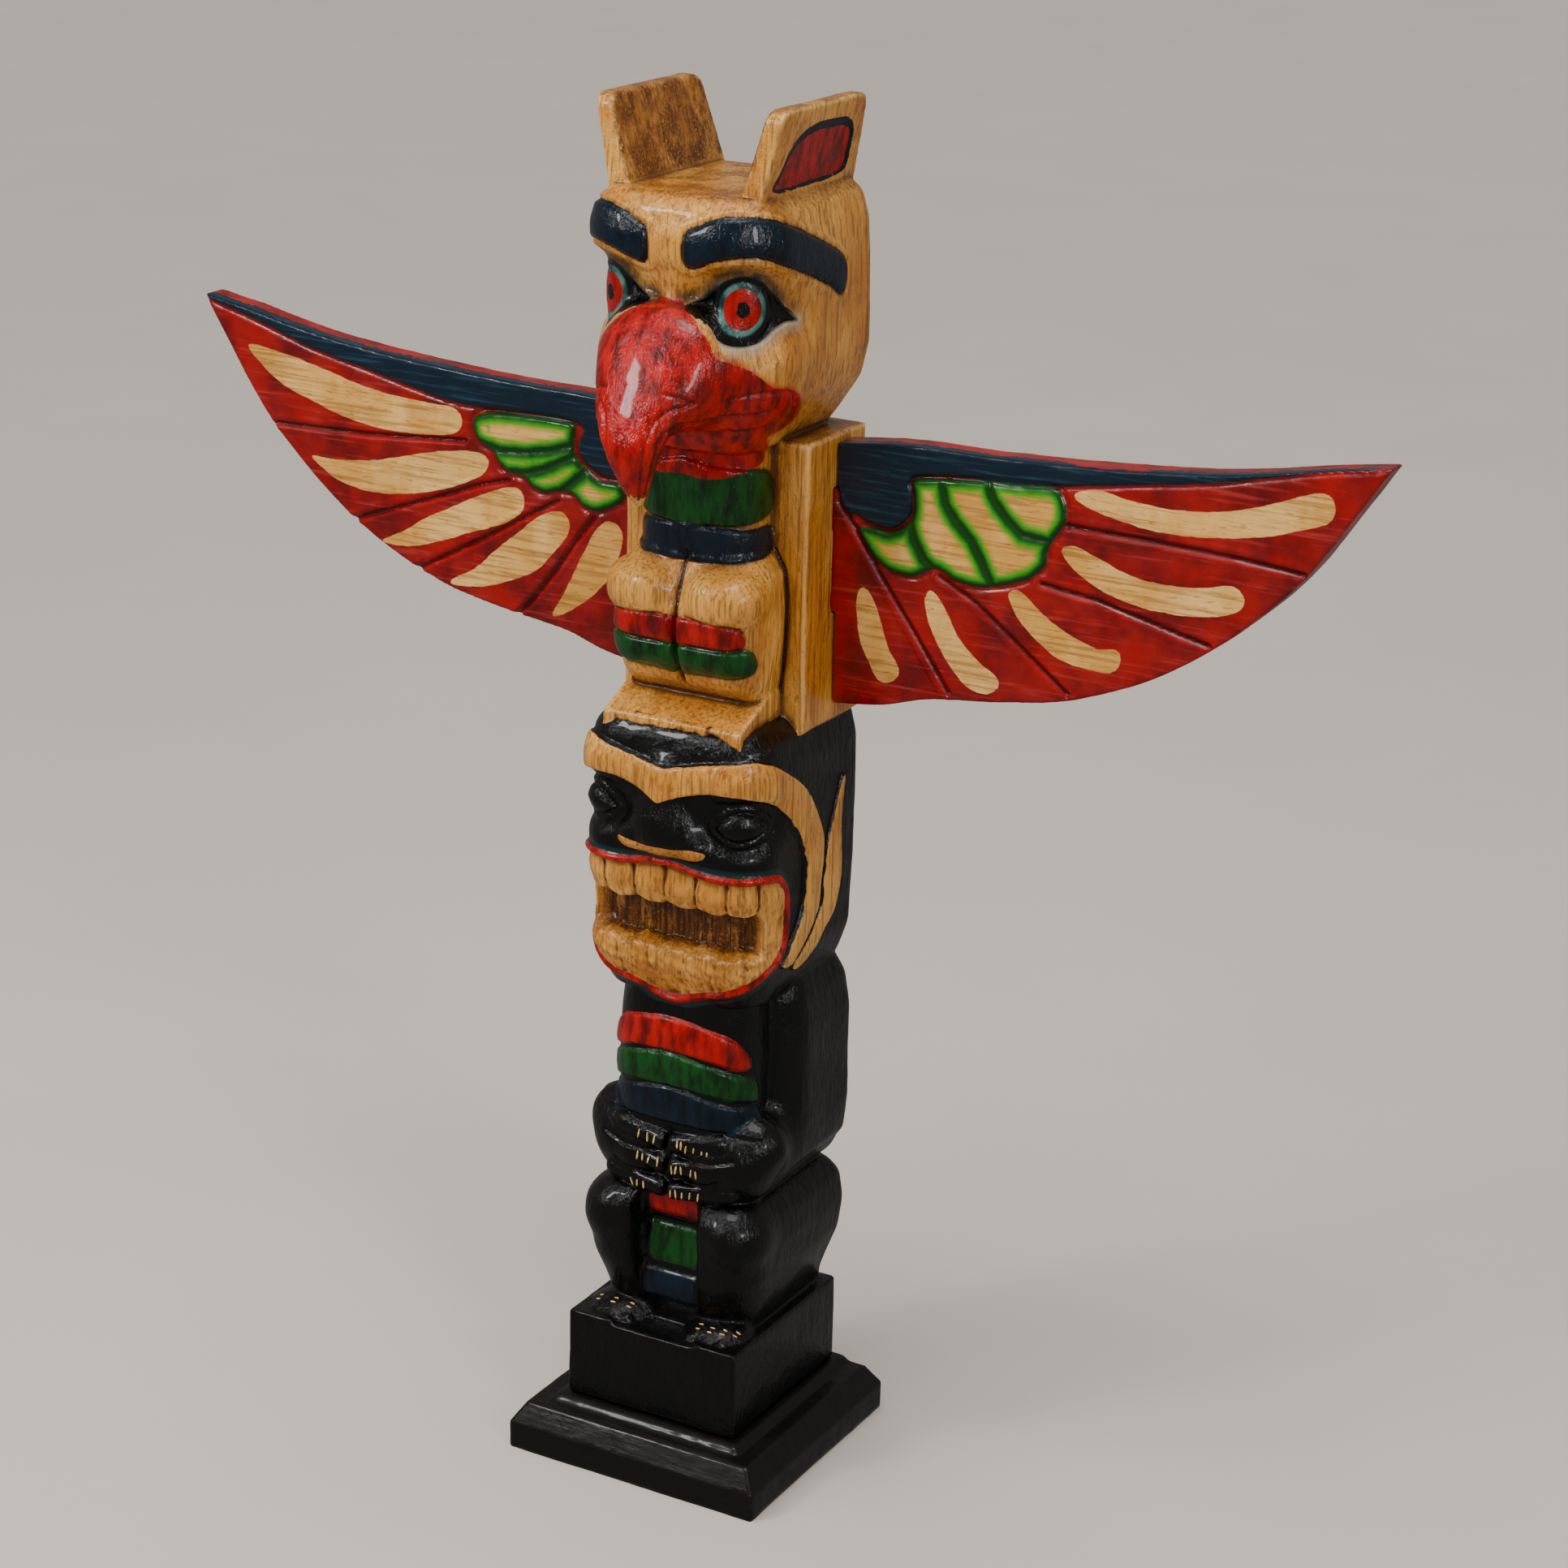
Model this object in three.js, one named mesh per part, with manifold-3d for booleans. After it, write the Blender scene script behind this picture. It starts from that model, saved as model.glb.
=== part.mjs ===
// Totem pole: a winged bird over a seated bear, carved from one block and set on a bevelled board.
// Millimetres, +Z up. The carved front faces -Y, the origin is on the ground under the board's middle.

import * as THREE from 'three';
import { mergeVertices } from 'three/addons/utils/BufferGeometryUtils.js';
import Module from 'manifold-3d';

const wasm = await Module();
wasm.setup();

// Driving dimensions: base board
const baseWidth = 210;
const baseDepth = 202;
const baseEdgeHeight = 20.5;
const baseBevelHeight = 16;
const baseBevelInset = 10;
const stepHeight = 5.5;
const stepMargin = 9;

// Driving dimensions: the block and its plinth, measured from the pole's axis
const blockWidth = 150;
const blockFront = 62;
const blockBack = 88;
const plinthWidth = 142;
const plinthFront = 70.5;
const plinthBack = 82;
const plinthEdgeRadius = 4;

// Driving dimensions: heights of the parts of the pole, from the bottom up
const plinthHeight = 68;
const bearBodyHeight = 262;
const bearHeadHeight = 200;
const birdBodyHeight = 199;
const birdHeadHeight = 172;
const earHeight = 59;

// Driving dimensions: shoulder boards and wings
const boardThickness = 28;
const boardInset = 1;
const boardFront = 5;
const boardDrop = 9;
const wingThickness = 24;
const wingSetback = 38;
const wingReach = 398.5;
const wingRise = 39;
const wingTopDrop = 6;
const wingBottomLift = 13;
const wingRootGap = 1;
const tenonHeight = 89;
const tenonLength = 13;
const tenonClearance = 0.3;
const restGap = 0.3;

// Driving dimensions: depth of the carving
const bandLift = 3;
const browLift = 4;
const lipLift = 4;
const lipWidth = 7;
const mouthDepth = 17;
const teethDepth = 5;
const earPanelDepth = 3;
const slitWidth = 2.2;
const slitDepth = 5;
const featherGrooveWidth = 4;
const featherGrooveDepth = 2.5;

// Heights and half widths that follow from the driving dimensions
const halfWidth = blockWidth / 2;
const baseTop = baseEdgeHeight + baseBevelHeight + stepHeight;
const plinthBottom = baseTop + restGap;
const plinthTop = plinthBottom + plinthHeight;
const boardOuter = halfWidth - boardInset;
const boardInner = boardOuter - boardThickness;
const bodyHalf = boardInner + 6.5;

// Rounded block sections. Each station holds [height, half width, front, back, front corner radius]:
// the height as a share of the zone, and the others as shares of the block's own half width and depths.
function makeZone(bottom, height, stations) {
  return { bottom, height, stations };
}

const bearLegs = makeZone(plinthTop, bearBodyHeight, [
  [-0.02, 0.84, 0.6, 0.91, 0.42], [0.08, 0.87, 0.66, 0.95, 0.45], [0.16, 0.95, 0.82, 0.99, 0.42],
  [0.26, 0.99, 0.9, 1.02, 0.36], [0.34, 0.97, 0.9, 1.0, 0.34], [0.4, 0.84, 0.78, 0.91, 0.33],
]);
const bearArms = makeZone(plinthTop, bearBodyHeight, [
  [0.39, 0.8, 0.6, 0.9, 0.3], [0.42, 0.9, 0.72, 0.96, 0.32], [0.48, 0.98, 0.8, 1.0, 0.32],
  [0.56, 0.98, 0.8, 1.0, 0.32], [0.62, 0.94, 0.72, 1.0, 0.34], [0.67, 0.84, 0.54, 0.98, 0.4],
]);
const bearTorso = makeZone(plinthTop, bearBodyHeight, [
  [0.5, 0.95, 0.02, 1.0, 0.24], [0.6, 1.01, 0.04, 1.02, 0.24],
  [0.86, 1.0, 0.02, 1.01, 0.24], [0.95, 0.96, 0, 1, 0.24], [1.01, 0.86, -0.04, 0.94, 0.24],
]);
const bearBelly = makeZone(plinthTop, bearBodyHeight, [
  [0.3, 0.66, 0.6, 0.5, 0.45], [0.5, 0.74, 0.72, 0.5, 0.45], [0.62, 0.79, 0.78, 0.5, 0.46],
  [0.8, 0.8, 0.8, 0.5, 0.46], [0.92, 0.77, 0.76, 0.5, 0.46], [1.02, 0.72, 0.7, 0.5, 0.44],
]);
const bearHead = makeZone(plinthTop + bearBodyHeight, bearHeadHeight, [
  [-0.03, 0.84, 0.68, 0.91, 0.38], [0.03, 0.9, 0.8, 0.96, 0.42], [0.13, 0.97, 0.9, 1.0, 0.44],
  [0.38, 0.99, 0.92, 1.02, 0.44], [0.5, 1.0, 0.97, 1.02, 0.42], [0.66, 1.0, 1.0, 1.02, 0.4],
  [0.86, 0.99, 1.0, 1.02, 0.4], [0.95, 0.94, 0.92, 1.0, 0.37], [1.0, 0.8, 0.84, 0.94, 0.35],
]);
const birdBody = makeZone(bearHead.bottom + bearHeadHeight, birdBodyHeight, [
  [-0.06, 0.7, 0.29, 1, 0.13], [0.1, 0.7, 0.32, 1, 0.19], [0.2, 0.7, 0.5, 1, 0.32],
  [0.32, 0.7, 0.66, 1, 0.4], [0.5, 0.7, 0.66, 1, 0.42], [0.6, 0.68, 0.6, 1, 0.43],
  [0.63, 0.6, 0.56, 1, 0.42], [0.95, 0.6, 0.58, 1, 0.42], [1.06, 0.6, 0.62, 0.98, 0.42],
]);
const birdHead = makeZone(birdBody.bottom + birdBodyHeight, birdHeadHeight, [
  [0, 0.66, 0.7, 0.91, 0.4], [0.1, 0.82, 0.85, 0.95, 0.46], [0.2, 0.95, 0.96, 1.0, 0.54],
  [0.34, 1.0, 1.0, 1.02, 0.66], [0.5, 0.99, 0.94, 1.02, 0.74], [0.66, 0.98, 0.94, 1.02, 0.74],
  [0.74, 0.98, 1.04, 1.02, 0.6], [0.84, 0.97, 1.06, 1.01, 0.54], [0.96, 0.91, 1.01, 0.99, 0.48],
  [1, 0.82, 0.93, 0.95, 0.36],
]);
const backCorner = 0.13;
const boardTop = birdHead.bottom;
const boardBottom = birdBody.bottom - boardDrop;
const headTop = birdHead.bottom + birdHeadHeight;

// The height above the ground of a share of a zone
function at(zone, share) {
  return zone.bottom + share * zone.height;
}

// The section of a zone at one height, in millimetres
function sectionAt(zone, share) {
  const rows = zone.stations;
  let k = rows.findIndex((row) => row[0] >= share);
  if (k < 0) k = rows.length - 1;
  if (k === 0) k = 1;
  const span = rows[k][0] - rows[k - 1][0];
  const t = THREE.MathUtils.clamp((share - rows[k - 1][0]) / span, 0, 1);
  const mix = (j) => THREE.MathUtils.lerp(rows[k - 1][j], rows[k][j], t);
  return {
    w: mix(1) * halfWidth, f: mix(2) * blockFront, b: mix(3) * blockBack,
    rf: mix(4) * halfWidth, rb: backCorner * halfWidth,
  };
}

// A point of a zone's surface. u is the distance round the section from the front's middle,
// in half widths, and lift is how far the point stands out from the surface.
function onSurface(zone, u, share, lift = 0) {
  const s = sectionAt(zone, share);
  const side = Math.sign(u) || 1;
  const along = Math.abs(u) * halfWidth;
  const flat = s.w - s.rf;
  const arc = s.rf * Math.PI / 2;
  let x;
  let y;
  let angle;
  if (along <= flat) {
    [x, y, angle] = [along, -s.f, 0];
  } else if (along <= flat + arc) {
    angle = (along - flat) / s.rf;
    x = flat + s.rf * Math.sin(angle);
    y = -s.f + s.rf - s.rf * Math.cos(angle);
  } else {
    [x, y, angle] = [s.w, -s.f + s.rf + along - flat - arc, Math.PI / 2];
  }
  return new THREE.Vector3(
    side * (x + lift * Math.sin(angle)), y - lift * Math.cos(angle),
    at(zone, share));
}

// A closed solid through rings of equal count, flat at both ends, turned so that its faces point out
function ringSolid(rings) {
  const n = rings[0].length;
  const positions = [];
  const index = [];
  rings.flat().forEach((p) => positions.push(p.x, p.y, p.z));
  for (let r = 0; r < rings.length - 1; r += 1) {
    for (let i = 0; i < n; i += 1) {
      const a = r * n + i;
      const b = r * n + ((i + 1) % n);
      index.push(a, b, a + n, b, b + n, a + n);
    }
  }
  [rings[0], rings[rings.length - 1]].forEach((ring, last) => {
    const centre = ring.reduce((sum, p) => sum.add(p), new THREE.Vector3()).divideScalar(n);
    const hub = positions.length / 3;
    positions.push(centre.x, centre.y, centre.z);
    const start = last ? (rings.length - 1) * n : 0;
    for (let i = 0; i < n; i += 1) {
      const pair = [start + i, start + ((i + 1) % n)];
      if (last) index.push(pair[0], pair[1], hub);
      else index.push(pair[1], pair[0], hub);
    }
  });
  const geometry = new THREE.BufferGeometry();
  geometry.setAttribute('position', new THREE.Float32BufferAttribute(positions, 3));
  geometry.setIndex(index);
  return toSolid(geometry);
}

function signedVolume(points, index) {
  const [a, b, c] = [new THREE.Vector3(), new THREE.Vector3(), new THREE.Vector3()];
  let sum = 0;
  for (let i = 0; i < index.length; i += 3) {
    a.fromArray(points, 3 * index[i]);
    b.fromArray(points, 3 * index[i + 1]);
    c.fromArray(points, 3 * index[i + 2]);
    sum += a.dot(b.cross(c));
  }
  return sum;
}

// A three.js geometry as a solid that can be joined and cut
function toSolid(geometry) {
  const bare = geometry.clone();
  bare.deleteAttribute('normal');
  bare.deleteAttribute('uv');
  const merged = mergeVertices(bare, 1e-4);
  const points = Float32Array.from(merged.attributes.position.array);
  const index = Uint32Array.from(merged.index.array);
  if (signedVolume(points, index) < 0) {
    for (let i = 0; i < index.length; i += 3) {
      [index[i], index[i + 1]] = [index[i + 1], index[i]];
    }
  }
  return new wasm.Manifold(new wasm.Mesh({ numProp: 3, vertProperties: points, triVerts: index }));
}

// The same feature on both sides: side is 1 on the figure's left (+X) and -1 on its right
function bothSides(make) {
  return [1, -1].map((side) => make(side));
}

function joinAll(solids) {
  return solids.flat(3).reduce((whole, part) => whole.add(part));
}

// The block of a zone, from its first station to its last, with rows of points between the stations
function zoneBlock(zone, rowsPerSpan = 1) {
  const heights = zone.stations.map((row) => row[0]);
  const shares = heights.slice(1).flatMap((height, k) => Array.from(
    { length: rowsPerSpan }, (_, i) => THREE.MathUtils.lerp(heights[k], height, i / rowsPerSpan)));
  shares.push(heights[heights.length - 1]);
  return ringSolid(shares.map((share) => sectionRing(sectionAt(zone, share), zone, share)));
}

function cornerArc(cx, cy, radius, from, to, steps) {
  return Array.from({ length: steps + 1 }, (_, i) => {
    const angle = THREE.MathUtils.degToRad(THREE.MathUtils.lerp(from, to, i / steps));
    return [cx + radius * Math.cos(angle), cy + radius * Math.sin(angle)];
  });
}

function sectionRing(s, zone, share) {
  const z = at(zone, share);
  const right = [
    ...cornerArc(s.w - s.rf, -s.f + s.rf, s.rf, -90, 0, 6),
    ...cornerArc(s.w - s.rb, s.b - s.rb, s.rb, 0, 90, 2),
  ];
  const left = right.map(([x, y]) => [-x, y]).reverse();
  return [...right, ...left].map(([x, y]) => new THREE.Vector3(x, y, z));
}

// A raised or sunken strip that follows a zone's surface. Each pair holds the strip's two edges
// as [u, height share], and the strip runs from sink under the surface to lift over it.
function ribbon(zone, side, pairs, lift, sink, steps = 1) {
  const samples = [];
  pairs.forEach((pair, k) => {
    const count = k === pairs.length - 1 ? 1 : steps;
    for (let i = 0; i < count; i += 1) {
      const next = pairs[Math.min(k + 1, pairs.length - 1)];
      samples.push(pair.map((edge, e) => [
        THREE.MathUtils.lerp(edge[0], next[e][0], i / count),
        THREE.MathUtils.lerp(edge[1], next[e][1], i / count),
      ]));
    }
  });
  return ringSolid(samples.map(([a, b]) => [
    onSurface(zone, side * a[0], a[1], lift), onSurface(zone, side * b[0], b[1], lift),
    onSurface(zone, side * b[0], b[1], -sink), onSurface(zone, side * a[0], a[1], -sink),
  ]));
}

// A ball stretched to its half sizes and turned about the upright axis. A power under 1 squares it up.
function ellipsoid(centre, radii, turn = 0, detail = 12, power = 1) {
  const ball = new THREE.SphereGeometry(1, detail, Math.ceil(detail * 0.6));
  const points = ball.attributes.position;
  const squared = (v) => Math.sign(v) * Math.abs(v) ** power;
  for (let i = 0; i < points.count; i += 1) {
    points.setXYZ(i, squared(points.getX(i)), squared(points.getY(i)), squared(points.getZ(i)));
  }
  ball.scale(...radii);
  ball.rotateZ(turn);
  ball.translate(centre.x, centre.y, centre.z);
  return toSolid(ball);
}

function box(low, high) {
  const shape = new THREE.BoxGeometry(high[0] - low[0], high[1] - low[1], high[2] - low[2]);
  shape.translate((low[0] + high[0]) / 2, (low[1] + high[1]) / 2, (low[2] + high[2]) / 2);
  return toSolid(shape);
}

// Bird's head: brow panels, eye sockets and eyes, hooked beak, chin and ears
function browPanel(side) {
  return ribbon(birdHead, side, [
    [[0.2, 0.74], [0.2, 0.86]], [[0.32, 0.755], [0.32, 0.9]], [[0.55, 0.785], [0.55, 0.935]],
    [[0.85, 0.795], [0.85, 0.945]], [[1.2, 0.74], [1.2, 0.91]], [[1.6, 0.675], [1.6, 0.84]],
    [[2.1, 0.575], [2.1, 0.725]],
  ], bandLift, bandLift, 2);
}

const eyeTurn = 0.72;
const eyeShare = 0.585;

function eyeFrame(side) {
  const centre = onSurface(birdHead, side * eyeTurn, eyeShare);
  return { centre, turn: side * 0.55 };
}

function eyeSocket(side) {
  const { centre, turn } = eyeFrame(side);
  return ellipsoid(centre, [0.66 * halfWidth, 0.12 * blockFront, 0.15 * birdHeadHeight], turn, 16);
}

function eyeBall(side) {
  const { centre, turn } = eyeFrame(side);
  const inward = onSurface(birdHead, side * eyeTurn, eyeShare, -0.13 * blockFront).sub(centre);
  const radius = 0.29 * halfWidth;
  return ellipsoid(centre.add(inward), [radius, 0.13 * blockFront, radius], turn, 14);
}

// The beak's rings, each from a point of its arched ridge to one of its underside.
// Each station holds ridge y and height, underside y and height, and the half width, as shares.
function beak() {
  const sides = 12;
  const stations = [
    [-0.65, 0.6, -0.65, 0.1, 0.76], [-1.06, 0.59, -1.0, 0.095, 0.7], [-1.45, 0.565, -1.17, 0.09, 0.57],
    [-1.78, 0.475, -1.26, 0.08, 0.44], [-1.92, 0.32, -1.32, 0.045, 0.34],
    [-1.9, 0.12, -1.39, -0.02, 0.24], [-1.77, -0.05, -1.46, -0.1, 0.14], [-1.62, -0.16, -1.56, -0.17, 0.03],
  ];
  return ringSolid(stations.map(([topY, top, lowY, low, wide]) => {
    const ridge = new THREE.Vector3(0, topY * blockFront, at(birdHead, top));
    const underside = new THREE.Vector3(0, lowY * blockFront, at(birdHead, low));
    return Array.from({ length: sides }, (_, i) => {
      const angle = (i + 0.5) / sides * Math.PI * 2;
      const point = ridge.clone().lerp(underside, (1 - Math.sin(angle)) / 2);
      return point.setX(wide * halfWidth * Math.cos(angle));
    });
  }));
}

// The flare of the beak's root, which runs back to the corner of the mouth.
// Each station holds u, the middle's height share, half its height and how far it stands out.
function cheek(side) {
  const stations = [
    [0.35, 0.34, 0.24, 0.26], [0.7, 0.3, 0.19, 0.2], [1.0, 0.25, 0.12, 0.13],
    [1.25, 0.22, 0.08, 0.08], [1.45, 0.2, 0.04, 0.02],
  ];
  return ringSolid(stations.map(([u, share, half, lift]) => [
    [1, -0.08], [0.8, 0.35], [0.25, 1], [-0.4, 1], [-0.85, 0.45], [-1, -0.08],
  ].map(([up, out]) => onSurface(
    birdHead, side * u, share + up * half, out * (out < 0 ? blockFront : lift * blockFront)))));
}

function ear(side) {
  const top = headTop + earHeight;
  const low = headTop - 0.1 * earHeight;
  const rings = [[-0.7, -0.62], [0.97, 0.88]].map(([frontLow, frontTop]) => [
    [0.56, frontLow, low], [0.79, frontLow, low], [0.99, frontTop, top - 0.06 * earHeight],
    [0.96, frontTop, top], [0.84, frontTop, top], [0.78, frontTop, top - 0.07 * earHeight],
  ].map(([x, y, z]) => new THREE.Vector3(
    side * x * halfWidth, y * (y < 0 ? blockFront : blockBack), z)));
  return ringSolid(rings);
}

// The sunken leaf in an ear's outer face, as [depth share, height share] of the ear
function earPanel(side) {
  const leaf = [
    [-0.46, 0.1], [0.62, 0.04], [0.72, 0.12], [0.72, 0.52], [0.66, 0.64], [0.52, 0.7],
    [0.2, 0.7], [0.02, 0.66], [-0.16, 0.52],
  ];
  const lean = 0.2;
  const face = (height) => (0.79 + 0.2 * (height + 0.1) / 1.04) * halfWidth;
  return ringSolid([earPanelDepth * 2, -earPanelDepth].map((out) => leaf.map(([y, height]) => {
    const reach = face(height) + out * Math.cos(lean);
    return new THREE.Vector3(side * reach, y * blockBack, headTop + height * earHeight - out * lean);
  })));
}

function birdHeadSolid() {
  return zoneBlock(birdHead, 2)
    .subtract(joinAll(bothSides(eyeSocket)))
    .add(joinAll([bothSides(eyeBall), bothSides(browPanel), bothSides(cheek), beak()]))
    .add(joinAll(bothSides(ear)))
    .subtract(joinAll(bothSides(earPanel)));
}

// Bird's body: throat bands, breast, rows of bands under it, and the ledge it stands on
function throatBand(from, to) {
  const lean = 0.025;
  return ribbon(birdBody, 1, [-0.9, -0.5, 0, 0.5, 0.9].map((u) => {
    const round = Math.abs(u) > 0.6 ? 0.03 : 0;
    return [[u, from + round + lean * Math.abs(u)], [u, to - round - lean * Math.abs(u)]];
  }), bandLift, bandLift, 2);
}

function breast(side) {
  const centre = new THREE.Vector3(side * 0.38 * halfWidth, -0.36 * blockFront, at(birdBody, 0.49));
  const radii = [0.36 * halfWidth, 0.42 * blockFront, 0.155 * birdBodyHeight];
  return ellipsoid(centre, radii, side * 0.35, 12, 0.7);
}

function breastBand(side, from, to, reach) {
  return ribbon(birdBody, side, [
    [[0.03, from], [0.03, to]], [[0.3, from], [0.3, to]], [[reach, from], [reach, to]],
  ], bandLift * 1.5, bandLift, 2);
}

function ledge() {
  const half = 0.78 * halfWidth;
  const profile = [[0.3, -0.05], [-0.86, -0.02], [-0.86, 0.03], [-0.22, 0.1], [0.3, 0.12]];
  return ringSolid([-half, half].map((x) => profile.map(([y, share]) => (
    new THREE.Vector3(x, y * blockFront, at(birdBody, share))))));
}

function shoulderBoard(side) {
  const edge = 0.08 * boardThickness;
  const outline = [
    [boardInner - edge, boardFront], [boardOuter - edge, boardFront], [boardOuter, boardFront + edge],
    [boardOuter, blockBack], [boardInner - edge, blockBack],
  ];
  return ringSolid([boardBottom, boardTop].map((z) => outline.map(([x, y]) => (
    new THREE.Vector3(side * x, y, z)))));
}

// The slot in a shoulder board that takes the wing's tenon
const tenonMiddle = (boardTop + boardBottom) / 2 + 0.1 * (boardTop - boardBottom);
const wingFront = boardFront + wingSetback;

function wingSlot(side) {
  const x = [boardOuter + 1, boardOuter - tenonLength - tenonClearance].map((v) => side * v);
  const half = tenonHeight / 2 + tenonClearance;
  return box(
    [Math.min(...x), wingFront - tenonClearance, tenonMiddle - half],
    [Math.max(...x), wingFront + wingThickness + tenonClearance, tenonMiddle + half]);
}

// The narrow slit between the lower body and the front face of a shoulder board
function boardSlit(side) {
  const x = [bodyHalf, bodyHalf + slitWidth].map((v) => side * v);
  return box(
    [Math.min(...x), boardFront - 1, boardBottom - 1],
    [Math.max(...x), boardFront + slitDepth, at(birdBody, 0.6)]);
}

function birdBodySolid() {
  return zoneBlock(birdBody, 1)
    .add(joinAll([throatBand(0.78, 0.935), throatBand(0.63, 0.765)]))
    .add(joinAll([bothSides(breast)]))
    .add(joinAll(bothSides((side) => [
      breastBand(side, 0.3, 0.385, 0.7), breastBand(side, 0.2, 0.28, 0.78)])))
    .add(ledge())
    .add(joinAll(bothSides(shoulderBoard)))
    .subtract(joinAll(bothSides(boardSlit)))
    .subtract(joinAll(bothSides(wingSlot)));
}

// Bear's head: brow band that runs on into the cheek bands, eyes, nose, lips, mouth and teeth
function browBand(side) {
  return ribbon(bearHead, side, [
    [[0, 0.755], [0, 0.87]], [[0.24, 0.785], [0.24, 0.89]], [[0.55, 0.805], [0.55, 0.925]],
    [[0.85, 0.8], [0.88, 0.93]], [[1.12, 0.765], [1.28, 0.89]], [[1.38, 0.7], [1.74, 0.77]],
    [[1.64, 0.58], [2.06, 0.6]], [[1.72, 0.48], [2.06, 0.48]], [[1.64, 0.315], [1.95, 0.28]],
    [[1.4, 0.19], [1.6, 0.155]], [[1.2, 0.13], [1.38, 0.105]],
  ], browLift, browLift, 2);
}

function cheekBand(side) {
  return ribbon(bearHead, side, [
    [[2.49, 0.74], [2.51, 0.74]], [[2.05, 0.6], [2.45, 0.56]], [[2.09, 0.48], [2.44, 0.44]],
    [[2.03, 0.27], [2.3, 0.24]], [[1.66, 0.15], [1.9, 0.11]], [[1.44, 0.1], [1.58, 0.075]],
  ], browLift, browLift, 2);
}

function noseSolid() {
  const stations = [[0.8, 0.18, 1.02], [0.68, 0.22, 1.12], [0.6, 0.36, 1.22], [0.55, 0.4, 1.12]];
  return ringSolid(stations.map(([share, half, front]) => [
    [-half, 0.7], [-half, front - 0.14], [-half * 0.5, front], [half * 0.5, front],
    [half, front - 0.14], [half, 0.7],
  ].map(([x, y]) => new THREE.Vector3(x * halfWidth, -y * blockFront, at(bearHead, share)))));
}

function bearEye(side, lift) {
  const centre = onSurface(bearHead, side * 0.8, 0.68, -0.03 * blockFront + lift);
  return { centre, turn: side * 0.8 };
}

function bearEyeSocket(side) {
  const { centre, turn } = bearEye(side, 0.02 * blockFront);
  return ellipsoid(centre, [0.4 * halfWidth, 0.11 * blockFront, 0.1 * bearHeadHeight], turn);
}

function bearEyeBall(side) {
  const { centre, turn } = bearEye(side, -0.07 * blockFront);
  return ellipsoid(centre, [0.27 * halfWidth, 0.14 * blockFront, 0.06 * bearHeadHeight], turn);
}

// A rounded oblong on a zone, as strips between its lower and upper edges
function roundedPatch(zone, half, low, high, corner, lift, sink) {
  const middle = (low + high) / 2;
  const rise = (high - low) / 2;
  const us = [-1, -0.93, -0.8, -0.5, -0.25, 0, 0.25, 0.5, 0.8, 0.93, 1];
  return ribbon(zone, 1, us.map((t) => {
    const over = Math.max(0, Math.abs(t) - (1 - corner)) / corner;
    const height = rise * Math.sqrt(Math.max(1 - over * over, 0.12));
    return [[t * half, middle - height], [t * half, middle + height]];
  }), lift, sink, 2);
}

const mouthHalf = 1.36;
const mouthLow = -0.01;
const mouthHigh = 0.515;

function lips() {
  const margin = lipWidth / bearHeadHeight;
  const across = lipWidth / halfWidth;
  return roundedPatch(bearHead, mouthHalf, mouthLow, mouthHigh, 0.3, lipLift, 12)
    .subtract(roundedPatch(bearHead, mouthHalf - across, mouthLow + margin, mouthHigh - margin,
      0.3, lipLift * 2, -lipLift * 0.3));
}

function mouthHollow() {
  return roundedPatch(bearHead, 1.05, 0.19, 0.38, 0.2, lipLift * 2, mouthDepth);
}

// The gaps between the teeth of the upper row
function toothGaps() {
  const count = 6;
  return Array.from({ length: count }, (_, i) => {
    const u = THREE.MathUtils.lerp(-0.9, 0.9, i / (count - 1));
    const half = 0.03;
    return ribbon(bearHead, 1, [
      [[u - half, 0.37], [u - half, 0.47]], [[u + half, 0.37], [u + half, 0.47]],
    ], lipLift * 2, teethDepth * 0.5);
  });
}

function bearHeadSolid() {
  return zoneBlock(bearHead, 1)
    .subtract(joinAll(bothSides(bearEyeSocket)))
    .add(joinAll([bothSides(bearEyeBall), bothSides(browBand), bothSides(cheekBand), noseSolid()]))
    .add(lips())
    .subtract(mouthHollow())
    .subtract(joinAll(toothGaps()));
}

// Bear's body: belly with its bands, arms, hands held together, and bent legs
function bellyBand(low, high, bow, reach) {
  return ribbon(bearBelly, 1, [-1, -0.85, -0.5, 0, 0.5, 0.85, 1].map((t) => {
    const drop = bow * (1 - t * t);
    const close = Math.abs(t) === 1 ? (high - low) * 0.3 : 0;
    return [[t * reach, low - drop + close], [t * reach, high - drop - close]];
  }), bandLift, bandLift, 1);
}

function fingers(side) {
  return [0.455, 0.525, 0.595].map((share, k) => {
    const centre = new THREE.Vector3(
      side * 0.33 * halfWidth, -0.74 * blockFront, at(bearArms, share));
    return ellipsoid(centre, [(0.31 - 0.02 * k) * halfWidth, 0.15 * blockFront,
      0.034 * bearBodyHeight], side * 0.2, 10, 0.8);
  });
}

// The groove between the two hands
function handGap() {
  const half = 0.035 * halfWidth;
  return box([-half, -blockFront, at(bearArms, 0.41)], [half, -0.72 * blockFront, at(bearArms, 0.63)]);
}

// The gap between the thighs, wider in front
function lapGap() {
  const back = 0.3 * halfWidth;
  const front = 0.56 * halfWidth;
  const [low, high] = [plinthTop, at(bearLegs, 0.4)];
  return ringSolid([low, high].map((z) => [
    [-back, -0.52 * blockFront], [back, -0.52 * blockFront], [front, -blockFront], [-front, -blockFront],
  ].map(([x, y]) => new THREE.Vector3(x, y, z))));
}

function lapBand(low, high) {
  const half = 0.29 * halfWidth;
  return box(
    [-half, -0.52 * blockFront - bandLift, at(bearLegs, low)],
    [half, -0.5 * blockFront, at(bearLegs, high)]);
}

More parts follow.
